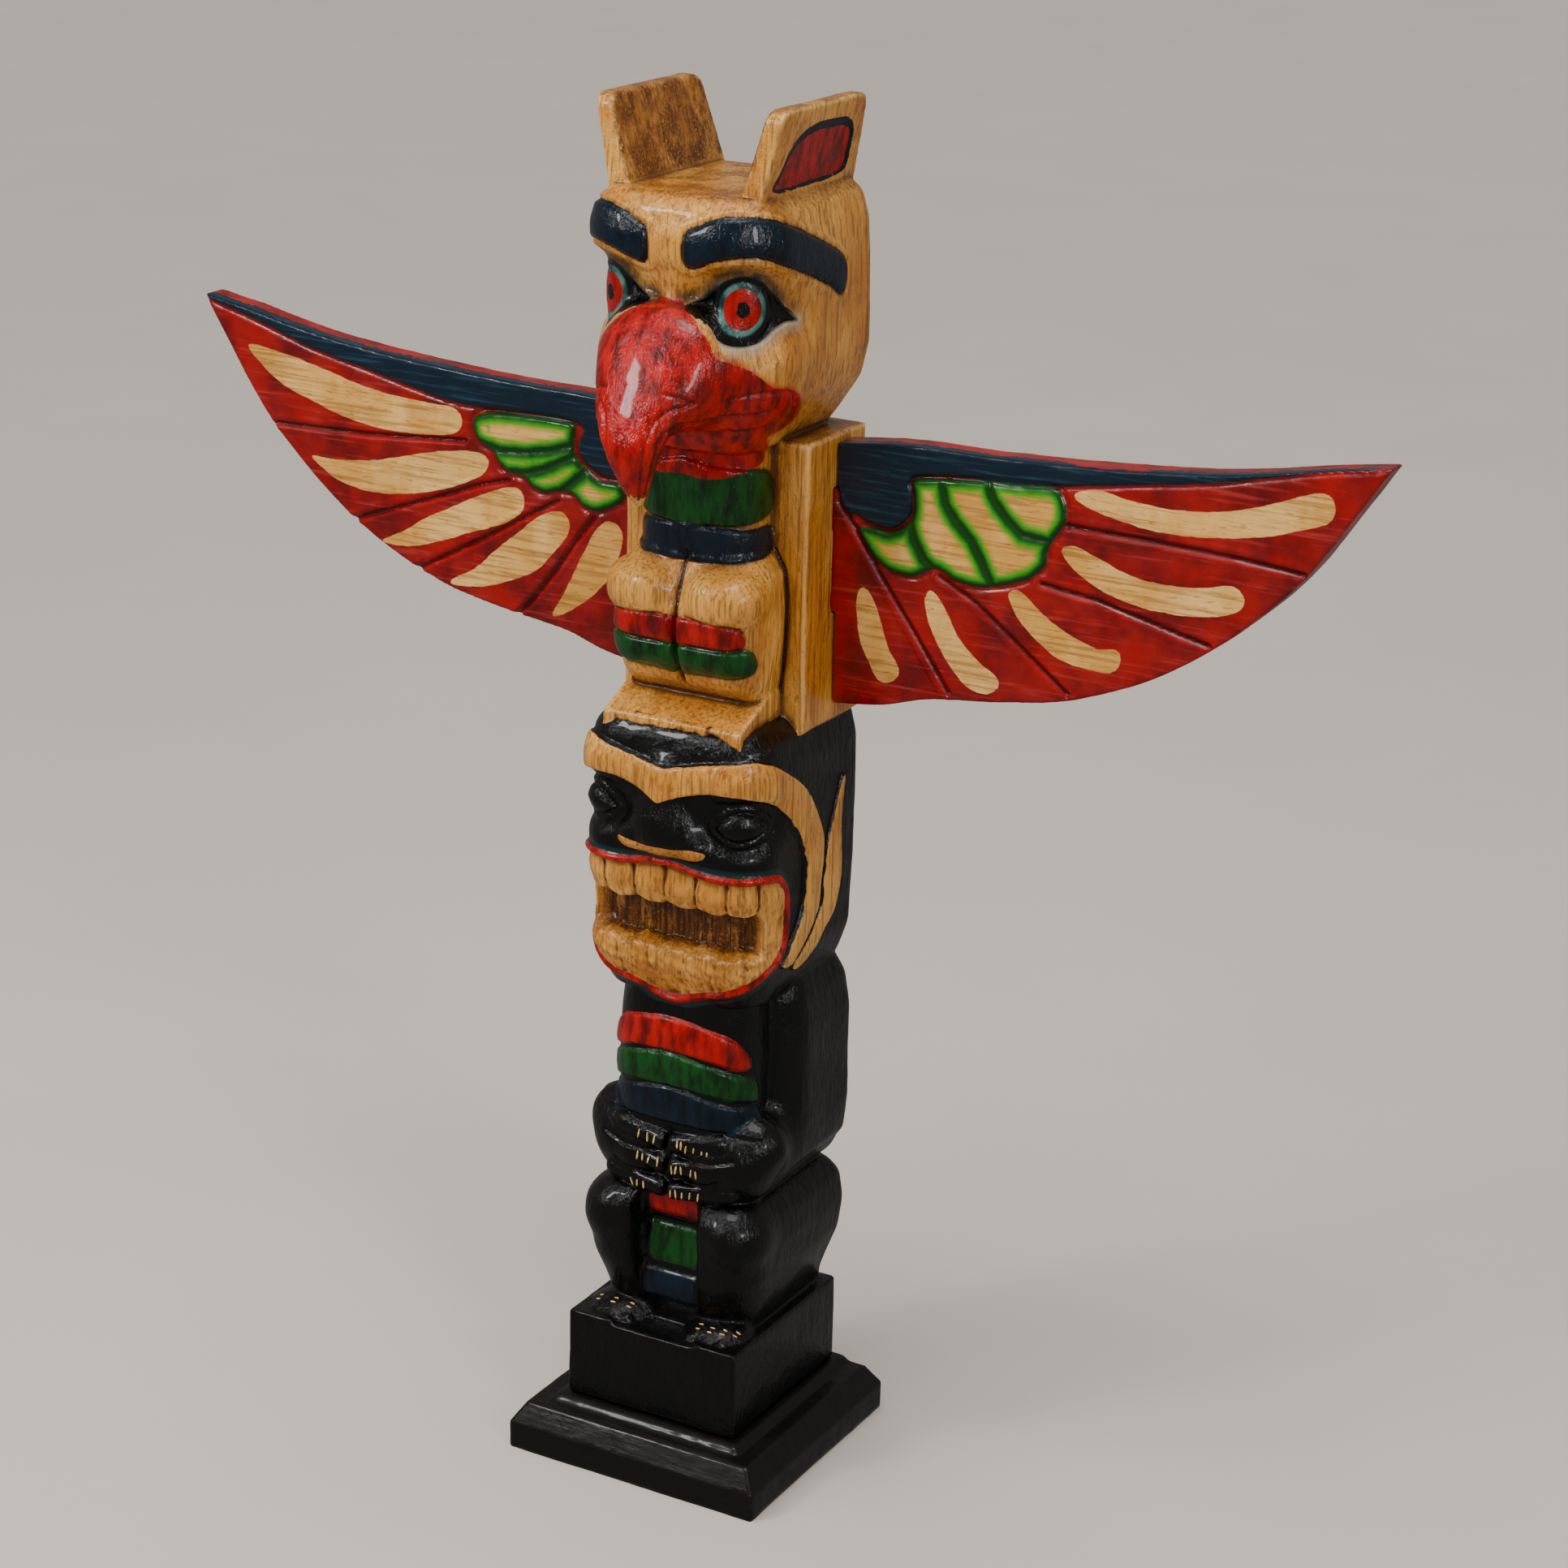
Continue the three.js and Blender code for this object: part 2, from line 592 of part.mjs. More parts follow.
function toes(side) {
  const count = 4;
  return Array.from({ length: count }, (_, i) => ellipsoid(new THREE.Vector3(
    side * THREE.MathUtils.lerp(0.3, 0.78, i / (count - 1)) * halfWidth,
    -0.84 * blockFront, plinthTop + 1), [0.085 * halfWidth, 0.2 * blockFront, 6], 0, 8));
}

function bearBodySolid() {
  return zoneBlock(bearLegs, 1)
    .subtract(lapGap())
    .add(zoneBlock(bearArms, 1))
    .add(zoneBlock(bearTorso, 1))
    .add(zoneBlock(bearBelly, 1))
    .add(joinAll([
      bellyBand(0.845, 0.91, 0.02, 0.93), bellyBand(0.745, 0.825, 0.02, 1.02),
      bellyBand(0.635, 0.725, 0.015, 1.02)]))
    .subtract(handGap())
    .add(joinAll([bothSides(fingers), bothSides(toes)]))
    .add(joinAll([lapBand(0.34, 0.4), lapBand(0.2, 0.31), lapBand(0.09, 0.18)]));
}

// The plinth, carved in one with the figures
function plinthSolid() {
  const half = plinthWidth / 2;
  const r = plinthEdgeRadius;
  const right = [
    ...cornerArc(half - r, -plinthFront + r, r, -90, 0, 2),
    ...cornerArc(half - r, plinthBack - r, r, 0, 90, 2)];
  const outline = [...right, ...right.map(([x, y]) => [-x, y]).reverse()];
  const middle = (plinthBack - plinthFront) / 2;
  const shrink = (share) => outline.map(([x, y]) => [x * share, middle + (y - middle) * share]);
  const rows = [[plinthBottom, 1], [plinthTop - r * 0.5, 1], [plinthTop, 1 - r * 0.5 / half]];
  return ringSolid(rows.map(([z, share]) => shrink(share).map(([x, y]) => (
    new THREE.Vector3(x, y, z)))));
}

function poleSolid() {
  return plinthSolid()
    .add(bearBodySolid())
    .add(bearHeadSolid())
    .add(birdBodySolid())
    .add(birdHeadSolid());
}

// Base board: a square board with a bevel, and a low rounded step round the plinth's foot
function baseSolid() {
  const square = (halfX, low, high, z) => [[halfX, low], [halfX, high], [-halfX, high], [-halfX, low]]
    .map(([x, y]) => new THREE.Vector3(x, y, z));
  const [x, y] = [baseWidth / 2, baseDepth / 2];
  const bevelTop = baseEdgeHeight + baseBevelHeight;
  const board = ringSolid([
    square(x, -y, y, 0), square(x, -y, y, baseEdgeHeight),
    square(x - baseBevelInset, -y + baseBevelInset, y - baseBevelInset, bevelTop)]);
  const edge = stepHeight * 0.6;
  const step = (inset, z) => square(
    plinthWidth / 2 + stepMargin - inset, -plinthFront - stepMargin + inset,
    plinthBack + stepMargin - inset, z);
  return board.add(ringSolid([
    step(0, bevelTop - 1), step(0, bevelTop + stepHeight - edge), step(edge * 0.3, baseTop - edge * 0.3),
    step(edge, baseTop)]));
}

// A wing: one flat board with a tenon at its root and the feathers parted by grooves
const wingRoot = boardOuter + wingRootGap;
const wingRootTop = boardTop - wingTopDrop;
const wingRootBottom = boardBottom + wingBottomLift;
const wingRootHeight = wingRootTop - wingRootBottom;

// A point of the wing's face, as [share of its reach, share of its root's height]
function wingPoint([out, up]) {
  return new THREE.Vector2(wingRoot + out * wingReach, wingRootBottom + up * wingRootHeight);
}

function wingOutline() {
  const tip = [1, 1 + wingRise / wingRootHeight];
  const top = [[0, 1], [0.14, 1.03], [0.36, 1.04], [0.68, 1.09], [0.9, 1.17], tip];
  const bottom = [
    tip, [0.95, 1.04], [0.86, 0.76], [0.74, 0.51], [0.61, 0.32], [0.47, 0.19], [0.34, 0.13],
    [0.2, 0.09], [0.1, 0.03], [0, 0],
  ];
  const along = (points, count) => new THREE.SplineCurve(points.map(wingPoint)).getPoints(count);
  return [...along(top, 9), ...along(bottom, 20).slice(1)];
}

function featherGroove(from, to) {
  const [a, b] = [wingPoint(from), wingPoint(to)];
  const across = b.clone().sub(a).normalize().rotateAround(new THREE.Vector2(), Math.PI / 2);
  return ringSolid([a, b].map((end) => {
    const corner = (reach, y) => new THREE.Vector3(
      end.x + across.x * reach, y, end.y + across.y * reach);
    const half = featherGrooveWidth;
    return [corner(-half, wingFront - featherGrooveDepth), corner(half, wingFront - featherGrooveDepth),
      corner(0, wingFront + featherGrooveDepth)];
  }));
}

function wingSolid(side) {
  const shape = new THREE.Shape(wingOutline());
  const slab = new THREE.ExtrudeGeometry(shape, { depth: wingThickness, bevelEnabled: false });
  slab.rotateX(Math.PI / 2);
  slab.translate(0, wingFront + wingThickness, 0);
  const tenon = box(
    [boardOuter - tenonLength, wingFront, tenonMiddle - tenonHeight / 2],
    [wingRoot + 1, wingFront + wingThickness, tenonMiddle + tenonHeight / 2]);
  const grooves = [
    [[0.442, 0.839], [0.867, 0.789]], [[0.397, 0.594], [0.703, 0.492]],
    [[0.257, 0.517], [0.454, 0.219]], [[0.096, 0.521], [0.23, 0.128]],
  ].map(([from, to]) => featherGroove(from, to));
  const wing = toSolid(slab).add(tenon).subtract(joinAll(grooves));
  return side > 0 ? wing : mirrored(wing);
}

function mirrored(solid) {
  const geometry = toGeometry(solid);
  geometry.scale(-1, 1, 1);
  return toSolid(geometry);
}

function toGeometry(solid) {
  const { vertProperties, triVerts } = solid.getMesh();
  const geometry = new THREE.BufferGeometry();
  geometry.setAttribute('position', new THREE.BufferAttribute(vertProperties, 3));
  geometry.setIndex(new THREE.BufferAttribute(triVerts, 1));
  return geometry;
}

const finishes = {
  honeyWood: { color: 0xb98440, roughness: 0.3, metalness: 0 },
  blackPaint: { color: 0x17120f, roughness: 0.28, metalness: 0 },
  redPaint: { color: 0x9d1f22, roughness: 0.34, metalness: 0 },
};

function part(name, solid, finish) {
  const mesh = new THREE.Mesh(toGeometry(solid), new THREE.MeshStandardMaterial(finish));
  mesh.name = name;
  return mesh;
}

const totemPole = new THREE.Group();
totemPole.add(
  part('base_board', baseSolid(), finishes.blackPaint),
  part('carved_pole', poleSolid(), finishes.honeyWood),
  part('wing_left', wingSolid(1), finishes.redPaint),
  part('wing_right', wingSolid(-1), finishes.redPaint));

export default totemPole;
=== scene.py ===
"""Totem pole: a winged bird over a seated bear, carved, painted and varnished.

The pole and the wings are carved in code as a carver would: blocks are cut to their sections,
and each motif is raised or cut in and then painted inside its own outline.
"""
import sys
import logging
import math
from dataclasses import dataclass, field
from enum import Enum
from typing import Callable

import bmesh
import bpy
import numpy as np
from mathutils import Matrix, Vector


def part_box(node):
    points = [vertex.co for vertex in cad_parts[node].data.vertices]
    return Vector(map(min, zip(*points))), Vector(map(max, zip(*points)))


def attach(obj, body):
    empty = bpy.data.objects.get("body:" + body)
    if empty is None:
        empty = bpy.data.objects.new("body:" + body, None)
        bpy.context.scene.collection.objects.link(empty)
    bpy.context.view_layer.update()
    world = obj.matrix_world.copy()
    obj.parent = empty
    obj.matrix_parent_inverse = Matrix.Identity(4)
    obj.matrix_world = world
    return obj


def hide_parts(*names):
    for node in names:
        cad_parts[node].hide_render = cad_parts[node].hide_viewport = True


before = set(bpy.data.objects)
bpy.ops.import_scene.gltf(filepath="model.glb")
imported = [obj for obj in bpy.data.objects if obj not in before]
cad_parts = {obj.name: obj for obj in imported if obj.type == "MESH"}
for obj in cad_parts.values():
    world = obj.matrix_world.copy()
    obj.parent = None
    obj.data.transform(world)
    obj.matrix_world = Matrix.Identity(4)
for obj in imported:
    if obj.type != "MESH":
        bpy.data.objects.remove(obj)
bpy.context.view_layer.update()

import openvdb as vdb
from mathutils import Matrix, Vector
from mathutils.bvhtree import BVHTree

LOG = logging.getLogger("totem_pole")

Outline = tuple[tuple[float, float], ...]
Corner = tuple[float, float, float]
Socket = bpy.types.NodeSocket
Values = np.ndarray

# The pole's height in the carver's millimetres, from the foot of the plinth to the tops of the ears
CARVED_HEIGHT = 960.0
POLE_LOW, POLE_HIGH = (Vector(corner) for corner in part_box("carved_pole"))
UNIT = (POLE_HIGH.z - POLE_LOW.z) / CARVED_HEIGHT
FOOT = POLE_LOW.z / UNIT

# Grid steps of the carving, in millimetres
POLE_STEP = 1.5
WING_STEP = 1.3
BOARD_STEP = 1.6
# Signed distance where nothing has been carved yet
AIR = 30.0
# The largest distance that a paint layer of the pole keeps
FAR = 12.0


class Paint(Enum):
    """What a motif is finished with. Bare wood has no paint layer of its own."""

    BARE = "bare"
    BLACK = "black"
    RED = "red"
    GREEN = "green"
    NAVY = "navy"


def new_object(name: str, data: bpy.types.ID) -> bpy.types.Object:
    """An object in the scene that shows a mesh, a light or a camera."""
    thing = bpy.data.objects.new(name, data)
    bpy.context.scene.collection.objects.link(thing)
    return thing


def soft_min(a: Values, b: Values, blend: float) -> Values:
    """The lower of two distances, rounded where they meet.

    Args:
        a: Distances to the first shape.
        b: Distances to the second shape.
        blend: Width of the rounding in millimetres.

    Returns:
        Distances to both shapes joined.
    """
    if blend <= 0:
        return np.minimum(a, b)
    overlap = np.maximum(blend - np.abs(a - b), 0) / blend
    return np.minimum(a, b) - overlap * overlap * blend * 0.25


def soft_max(a: Values, b: Values, blend: float) -> Values:
    """The higher of two distances, rounded where they meet."""
    return -soft_min(-a, -b, blend)


def ease(value: Values, start: float, end: float) -> Values:
    """0 at start and 1 at end, turning smoothly between them."""
    t = np.clip((value - start) / (end - start), 0, 1)
    return t * t * (3 - 2 * t)


def bell(value: Values, width: float) -> Values:
    """1 where the value is 0, falling away smoothly to either side."""
    return np.exp(-(value / width) ** 2)


def dome(share: Values) -> Values:
    """A swelling that rises steeply from 0 and levels off at 1."""
    return np.sqrt(np.clip(share, 0, 1))


def rounded(points: Outline, steps: int = 5) -> Values:
    """A closed outline drawn smoothly through its points.

    Args:
        points: The corners, in order round the outline.
        steps: How many short lines stand between two corners.

    Returns:
        An array of points on the closed curve.
    """
    p = np.array(points, dtype=float)
    before, after, beyond = np.roll(p, 1, 0), np.roll(p, -1, 0), np.roll(p, -2, 0)
    t = (np.arange(steps) / steps)[None, :, None]
    a, b, c, d = (q[:, None, :] for q in (before, p, after, beyond))
    curve = b + 0.5 * t * (c - a + t * (2 * a - 5 * b + 4 * c - d + t * (3 * (b - c) + d - a)))
    return curve.reshape(-1, 2)


def line_distance(p: Values, q: Values, points: Values) -> Values:
    """Distance from the points (p, q) to an open line of short straight pieces."""
    best = np.full(p.shape, 1e9)
    for (ax, ay), (bx, by) in zip(points[:-1], points[1:]):
        ex, ey = bx - ax, by - ay
        t = np.clip(((p - ax) * ex + (q - ay) * ey) / (ex * ex + ey * ey + 1e-9), 0, 1)
        best = np.minimum(best, (p - ax - ex * t) ** 2 + (q - ay - ey * t) ** 2)
    return np.sqrt(best)


def outline_distance(p: Values, q: Values, outline: Values) -> Values:
    """Signed distance from the points (p, q) to a closed outline.

    Args:
        p: First coordinates.
        q: Second coordinates.
        outline: The outline's corners in order.

    Returns:
        Distances in millimetres, negative inside.
    """
    side = np.ones(p.shape)
    for (ax, ay), (bx, by) in zip(outline, np.roll(outline, -1, 0)):
        starts, ends = q >= ay, q < by
        left = (bx - ax) * (q - ay) > (by - ay) * (p - ax)
        side[(starts & ends & left) | (~starts & ~ends & ~left)] *= -1
    return side * line_distance(p, q, np.vstack([outline, outline[:1]]))


def drawn_distance(p: Values, q: Values, points: Outline) -> Values:
    """Signed distance from the points (p, q) to the smooth outline through some corners."""
    return outline_distance(p, q, rounded(points))


@dataclass(frozen=True)
class Motif:
    """A shape drawn on a carved surface, in distance round it and height, that is cut and painted."""

    outline: Outline
    paint: Paint
    lift: float = 0.0
    edge: float = 1.6
    crown: float = 0.0
    groove: float = 0.0
    smooth: bool = True
    hug: float = 30.0

    def distance(self, u: Values, z: Values) -> Values:
        """Signed distance to the outline, the same on both sides of the pole."""
        shape = rounded(self.outline) if self.smooth else np.array(self.outline, dtype=float)
        return outline_distance(np.abs(u), z, shape)

    def relief(self, u: Values, z: Values) -> Values:
        """How far the motif stands out at each point, in millimetres."""
        d = self.distance(u, z)
        rise = self.lift * ease(-d, -self.edge, self.edge)
        return rise + self.crown * dome(-d / 10.0) - self.groove * bell(d - 0.4, 1.3)


@dataclass
class Zone:
    """A stretch of the pole with a rounded oblong section.

    Each station holds height, half width, front depth, back depth, front corner and back corner.
    """

    stations: tuple[tuple[float, float, float, float, float, float], ...]
    soften: int = 7
    cap: float = 4.0
    heights: Values = field(init=False)
    sizes: list[Values] = field(init=False)

    def __post_init__(self) -> None:
        """Draws the stations into smooth curves of each size over the height."""
        rows = np.array(self.stations)
        self.heights = np.arange(rows[0, 0] - 20, rows[-1, 0] + 20, 1.0)
        weights = np.hanning(2 * self.soften + 3)
        weights /= weights.sum()
        reach = len(weights) // 2
        self.sizes = []
        for column in range(1, 6):
            drawn = np.interp(self.heights, rows[:, 0], rows[:, column])
            self.sizes.append(np.convolve(np.pad(drawn, reach, "edge"), weights, "valid"))

    @property
    def low(self) -> float:
        """The zone's lowest height."""
        return self.stations[0][0]

    @property
    def high(self) -> float:
        """The zone's highest height."""
        return self.stations[-1][0]

    def section(self, z: Values) -> list[Values]:
        """Half width, front, back, front corner and back corner at each height."""
        return [np.interp(z, self.heights, size) for size in self.sizes]

    def distance(self, x: Values, y: Values, z: Values) -> Values:
        """Signed distance to the zone's block, negative inside."""
        w, f, b, rf, rb = self.section(z)
        middle, half = (b - f) / 2, (b + f) / 2
        r = np.where(y < middle, rf, rb)
        qx, qy = np.abs(x) - (w - r), np.abs(y - middle) - (half - r)
        wall = np.hypot(np.maximum(qx, 0), np.maximum(qy, 0)) + np.minimum(np.maximum(qx, qy), 0) - r
        return soft_max(soft_max(wall, z - self.high, self.cap), self.low - z, self.cap)

    def unroll(self, x: Values, y: Values, z: Values) -> Values:
        """Distance round the section from the front's middle, + towards +X."""
        w, f, _, rf, _ = self.section(z)
        flat = w - rf
        over, back = np.abs(x) - flat, y + f - rf
        angle = np.clip(np.arctan2(np.maximum(over, 0), np.maximum(-back, 1e-6)), 0, math.pi / 2)
        side = flat + rf * angle + np.maximum(back, 0)
        return np.sign(x) * np.where((over < 0) & (back < 0), np.abs(x), side)


def ball(centre: Corner, radii: Corner, turn: float = 0.0, lean: float = 0.0,
         power: float = 2.0) -> Callable:
    """A stretched ball.

    Args:
        centre: Its middle.
        radii: Its half sizes along x, y and z.
        turn: Its turn about the upright axis, in radians.
        lean: Its turn about the x axis after that, in radians.
        power: 2 for a round ball, more for a squarer one.

    Returns:
        A function from x, y, z to signed distance.
    """
    def distance(x: Values, y: Values, z: Values) -> Values:
        """Signed distance to the ball, exact at its surface."""
        px, py, pz = x - centre[0], y - centre[1], z - centre[2]
        px, py = (math.cos(turn) * px + math.sin(turn) * py, math.cos(turn) * py - math.sin(turn) * px)
        py, pz = (math.cos(lean) * py + math.sin(lean) * pz, math.cos(lean) * pz - math.sin(lean) * py)
        shares = [np.abs(v) / r for v, r in zip((px, py, pz), radii)]
        near = sum(share ** power for share in shares) ** (1 / power) + 1e-6
        slope = np.sqrt(sum((share ** (power - 1) / r) ** 2 for share, r in zip(shares, radii)))
        return (near - 1) * near ** (power - 1) / np.maximum(slope, 1e-6)
    return distance


def slab(low: Corner, high: Corner, corner: float) -> Callable:
    """An upright block between two corners, with rounded edges."""
    middle = [(a + b) / 2 for a, b in zip(low, high)]
    half = [(b - a) / 2 - corner for a, b in zip(low, high)]

    def distance(x: Values, y: Values, z: Values) -> Values:
        """Signed distance to the block."""
        q = [np.abs(v - m) - h for v, m, h in zip((x, y, z), middle, half)]
        outside = np.sqrt(sum(np.maximum(v, 0) ** 2 for v in q))
        return outside + np.minimum(np.maximum(np.maximum(q[0], q[1]), q[2]), 0) - corner
    return distance


def capsule(start: Corner, end: Corner, thick: float, thin: float) -> Callable:
    """A round bar that narrows from one end to the other."""
    a, b = np.array(start), np.array(end)
    along = b - a

    def distance(x: Values, y: Values, z: Values) -> Values:
        """Signed distance to the bar."""
        px, py, pz = x - a[0], y - a[1], z - a[2]
        t = np.clip((px * along[0] + py * along[1] + pz * along[2]) / float(along @ along), 0, 1)
        gap = (px - along[0] * t) ** 2 + (py - along[1] * t) ** 2 + (pz - along[2] * t) ** 2
        return np.sqrt(gap) - (thick + (thin - thick) * t)
    return distance


class CarvingBlock:
    """Wood held as signed distances on a grid, in millimetres, negative inside."""

    def __init__(self, low: Corner, high: Corner, step: float) -> None:
        """Makes an empty block.

        Args:
            low: Lowest corner of the space it may fill.
            high: Highest corner.
            step: Grid step.
        """
        self.step = step
        margin = 4 * step
        self.axes = [np.arange(a - margin, b + margin, step, dtype=np.float32)
                     for a, b in zip(low, high)]
        self.origin = np.array([axis[0] for axis in self.axes])
        self.wood = np.full([len(axis) for axis in self.axes], AIR, dtype=np.float32)
        self.scored: list[Values] = []

    def window(self, low: Corner, high: Corner) -> tuple[tuple[slice, ...], list[Values]]:
        """The part of the grid between two corners.

        Args:
            low: Lowest corner.
            high: Highest corner.

        Returns:
            Its slices, and its x, y and z ready to be used together.
        """
        cuts = tuple(
            slice(*np.searchsorted(axis, (a, b))) for axis, a, b in zip(self.axes, low, high))
        x, y, z = (axis[cut] for axis, cut in zip(self.axes, cuts))
        return cuts, [x[:, None, None], y[None, :, None], z[None, None, :]]

    def add(self, shape: Callable, low: Corner, high: Corner, blend: float = 1.5) -> None:
        """Joins a shape on, blended where it meets the wood."""
        cuts, grid = self.window(low, high)
        self.wood[cuts] = soft_min(self.wood[cuts], shape(*grid), blend)

    def cut(self, shape: Callable, low: Corner, high: Corner, blend: float = 1.0) -> None:
        """Takes a shape out, with softened rims."""
        cuts, grid = self.window(low, high)
        self.wood[cuts] = soft_max(self.wood[cuts], -shape(*grid), blend)

    def emboss(self, zone: Zone, relief: Callable, low: Corner, high: Corner,
               reach: float = 9.0) -> None:
        """Raises or sinks the surface of a zone.

        Args:
            zone: The zone that the relief is drawn on.
            relief: A function from distance round the zone and height to millimetres outwards.
            low: Lowest corner of the space to work in.
            high: Highest corner.
            reach: How deep under and over the surface the wood follows.
        """
        cuts, grid = self.window(low, high)
        part = self.wood[cuts]
        near = np.abs(part) < reach
        px, py, pz = (axis.ravel()[place].astype(float) for axis, place in zip(grid, np.nonzero(near)))
        part[near] -= relief(zone.unroll(px, py, pz), pz).astype(np.float32)

    def sample(self, points: Values, values: Values | None = None) -> Values:
        """A grid's value at each point, blended from the eight round it.

        Args:
            points: Points in millimetres.
            values: The grid, or None for the wood's signed distance.

        Returns:
            One value for each point.
        """
        values = self.wood if values is None else values
        place = (points - self.origin) / self.step
        base = np.clip(np.floor(place).astype(int), 0, np.array(values.shape) - 2)
        share = place - base
        total = np.zeros(len(points))
        for corner in np.ndindex(2, 2, 2):
            weight = np.prod(np.where(corner, share, 1 - share), axis=1)
            total += weight * values[tuple((base + corner).T)]
        return total

    def slope(self, points: Values) -> Values:
        """The direction out of the wood at each point."""
        steps = np.eye(3) * self.step
        out = np.stack([self.sample(points + way) - self.sample(points - way) for way in steps], 1)
        return out / np.maximum(np.linalg.norm(out, axis=1, keepdims=True), 1e-6)

    def score(self, line: tuple[Corner, ...], width: float, depth: float) -> None:
        """Cuts a narrow line into the surface, as with a veining tool.

        Args:
            line: Points of the line, near the surface.
            width: Radius of the cut.
            depth: How far it goes in.
        """
        corners = np.array(line, dtype=float)
        runs = np.concatenate([[0], np.cumsum(np.linalg.norm(np.diff(corners, axis=0), axis=1))])
        marks = np.arange(0, runs[-1], 1.0)
        points = np.stack([np.interp(marks, runs, corners[:, axis]) for axis in range(3)], 1)
        for _ in range(3):
            points -= self.slope(points) * self.sample(points)[:, None]
        self.scored.append(points.copy())
        points += self.slope(points) * (width - depth)
        reach = width + 3 * self.step
        for point in points:
            self.cut(ball(tuple(point), (width,) * 3), tuple(point - reach), tuple(point + reach), 0.8)

    def scored_distance(self, points: Values) -> Values:
        """How far each point lies from the nearest cut line, at most FAR."""
        nearest = np.full(len(points), FAR)
        for marks in self.scored:
            low, high = marks.min(0) - FAR, marks.max(0) + FAR
            where = np.nonzero(np.all((points > low) & (points < high), axis=1))[0]
            if len(where):
                gaps = np.linalg.norm(points[where][:, None] - marks[None], axis=2).min(1)
                nearest[where] = np.minimum(nearest[where], gaps)
        return nearest

    def wobble(self, spacing: float, strength: float, seed: int) -> None:
        """Adds the unevenness of hand work.

        Args:
            spacing: Distance between the bumps.
            strength: Their height.
            seed: Seed of the random heights.
        """
        weights = []
        for axis in self.axes:
            place = (axis - axis[0]) / spacing
            count = int(place[-1]) + 2
            gap = np.abs(place[:, None] - np.arange(count)[None, :])
            weights.append(np.where(gap < 1, 0.5 + 0.5 * np.cos(np.pi * np.minimum(gap, 1)), 0))
        rng = np.random.default_rng(seed)
        bumps = rng.uniform(-strength, strength, [w.shape[1] for w in weights]).astype(np.float32)
        for w in weights:
            bumps = np.tensordot(bumps, w.astype(np.float32), axes=(0, 1))
        self.wood += bumps

    def recess(self, points: Values, reach: float) -> Values:
        """How much wood stands round each point: over 0 in hollows and under 0 on ridges.

        Args:
            points: Points in millimetres.
            reach: How far to look.

        Returns:
            The share of wood within reach, less a half.
        """
        solid = np.clip(0.5 - self.wood / self.step, 0, 1)
        width = max(1, round(reach / self.step))
        for axis in range(3):
            total = np.cumsum(solid, axis=axis, dtype=np.float32)
            total = np.concatenate([np.zeros_like(total.take([0], axis)), total], axis)
            size = solid.shape[axis]
            last = np.minimum(np.arange(size) + width + 1, size)
            first = np.maximum(np.arange(size) - width, 0)
            share = (last - first).astype(np.float32)
            share = share.reshape([-1 if k == axis else 1 for k in range(3)])
            solid = (total.take(last, axis) - total.take(first, axis)) / share
        return self.sample(points, solid) - 0.5

    def mesh(self, name: str, most: int) -> bpy.types.Object:
        """The carved surface as an object.

        Args:
            name: Name of the object.
            most: The largest number of triangles it may have.

        Returns:
            The object, in metres.
        """
        grid = vdb.FloatGrid()
        grid.background = AIR
        grid.copyFromArray(self.wood)
        points, triangles, quads = grid.convertToPolygons(0.0, 0.0)
        points = (points * self.step + self.origin) * UNIT
        mesh = bpy.data.meshes.new(name)
        mesh.from_pydata(points.tolist(), [], [*triangles[:, ::-1].tolist(), *quads[:, ::-1].tolist()])
        mesh.update()
        piece = new_object(name, mesh)
        count = sum(len(face.vertices) - 2 for face in mesh.polygons)
        if count > most:
            thin = piece.modifiers.new("thin", "DECIMATE")
            thin.ratio = most / count
            settle(piece)
        tidy_mesh(piece.data)
        return piece


def settle(piece: bpy.types.Object) -> None:
    """Applies a piece's modifiers to its mesh and removes them."""
    depsgraph = bpy.context.evaluated_depsgraph_get()
    shaped = bpy.data.meshes.new_from_object(piece.evaluated_get(depsgraph))
    piece.modifiers.clear()
    old, name = piece.data, piece.data.name
    piece.data = shaped
    bpy.data.meshes.remove(old)
    shaped.name = name


def tidy_mesh(mesh: bpy.types.Mesh) -> None:
    """Triangulates, dissolves degenerate faces, turns faces outwards and shades the mesh smooth."""
    work = bmesh.new()
    work.from_mesh(mesh)
    bmesh.ops.triangulate(work, faces=work.faces)
    bmesh.ops.dissolve_degenerate(work, dist=1e-6, edges=work.edges)
    bmesh.ops.recalc_face_normals(work, faces=work.faces)
    if work.calc_volume(signed=True) < 0:
        bmesh.ops.reverse_faces(work, faces=work.faces)
    work.to_mesh(mesh)
    work.free()
    mesh.polygons.foreach_set("use_smooth", [True] * len(mesh.polygons))
    mesh.update()


def vertex_vectors(piece: bpy.types.Object, name: str) -> Values:
    """One vector for each point of a piece: its place "co" in metres, or its "normal"."""
    flat = np.empty(len(piece.data.vertices) * 3)
    piece.data.vertices.foreach_get(name, flat)
    return flat.reshape(-1, 3)


def vertex_points(piece: bpy.types.Object) -> Values:
    """A piece's points in millimetres."""
    return vertex_vectors(piece, "co") / UNIT


def write_attribute(piece: bpy.types.Object, name: str, values: Values) -> None:
    """Stores one number for each point of a piece, for its finish to read."""
    layer = piece.data.attributes.new(name, "FLOAT", "POINT")
    layer.data.foreach_set("value", values.astype(np.float32))


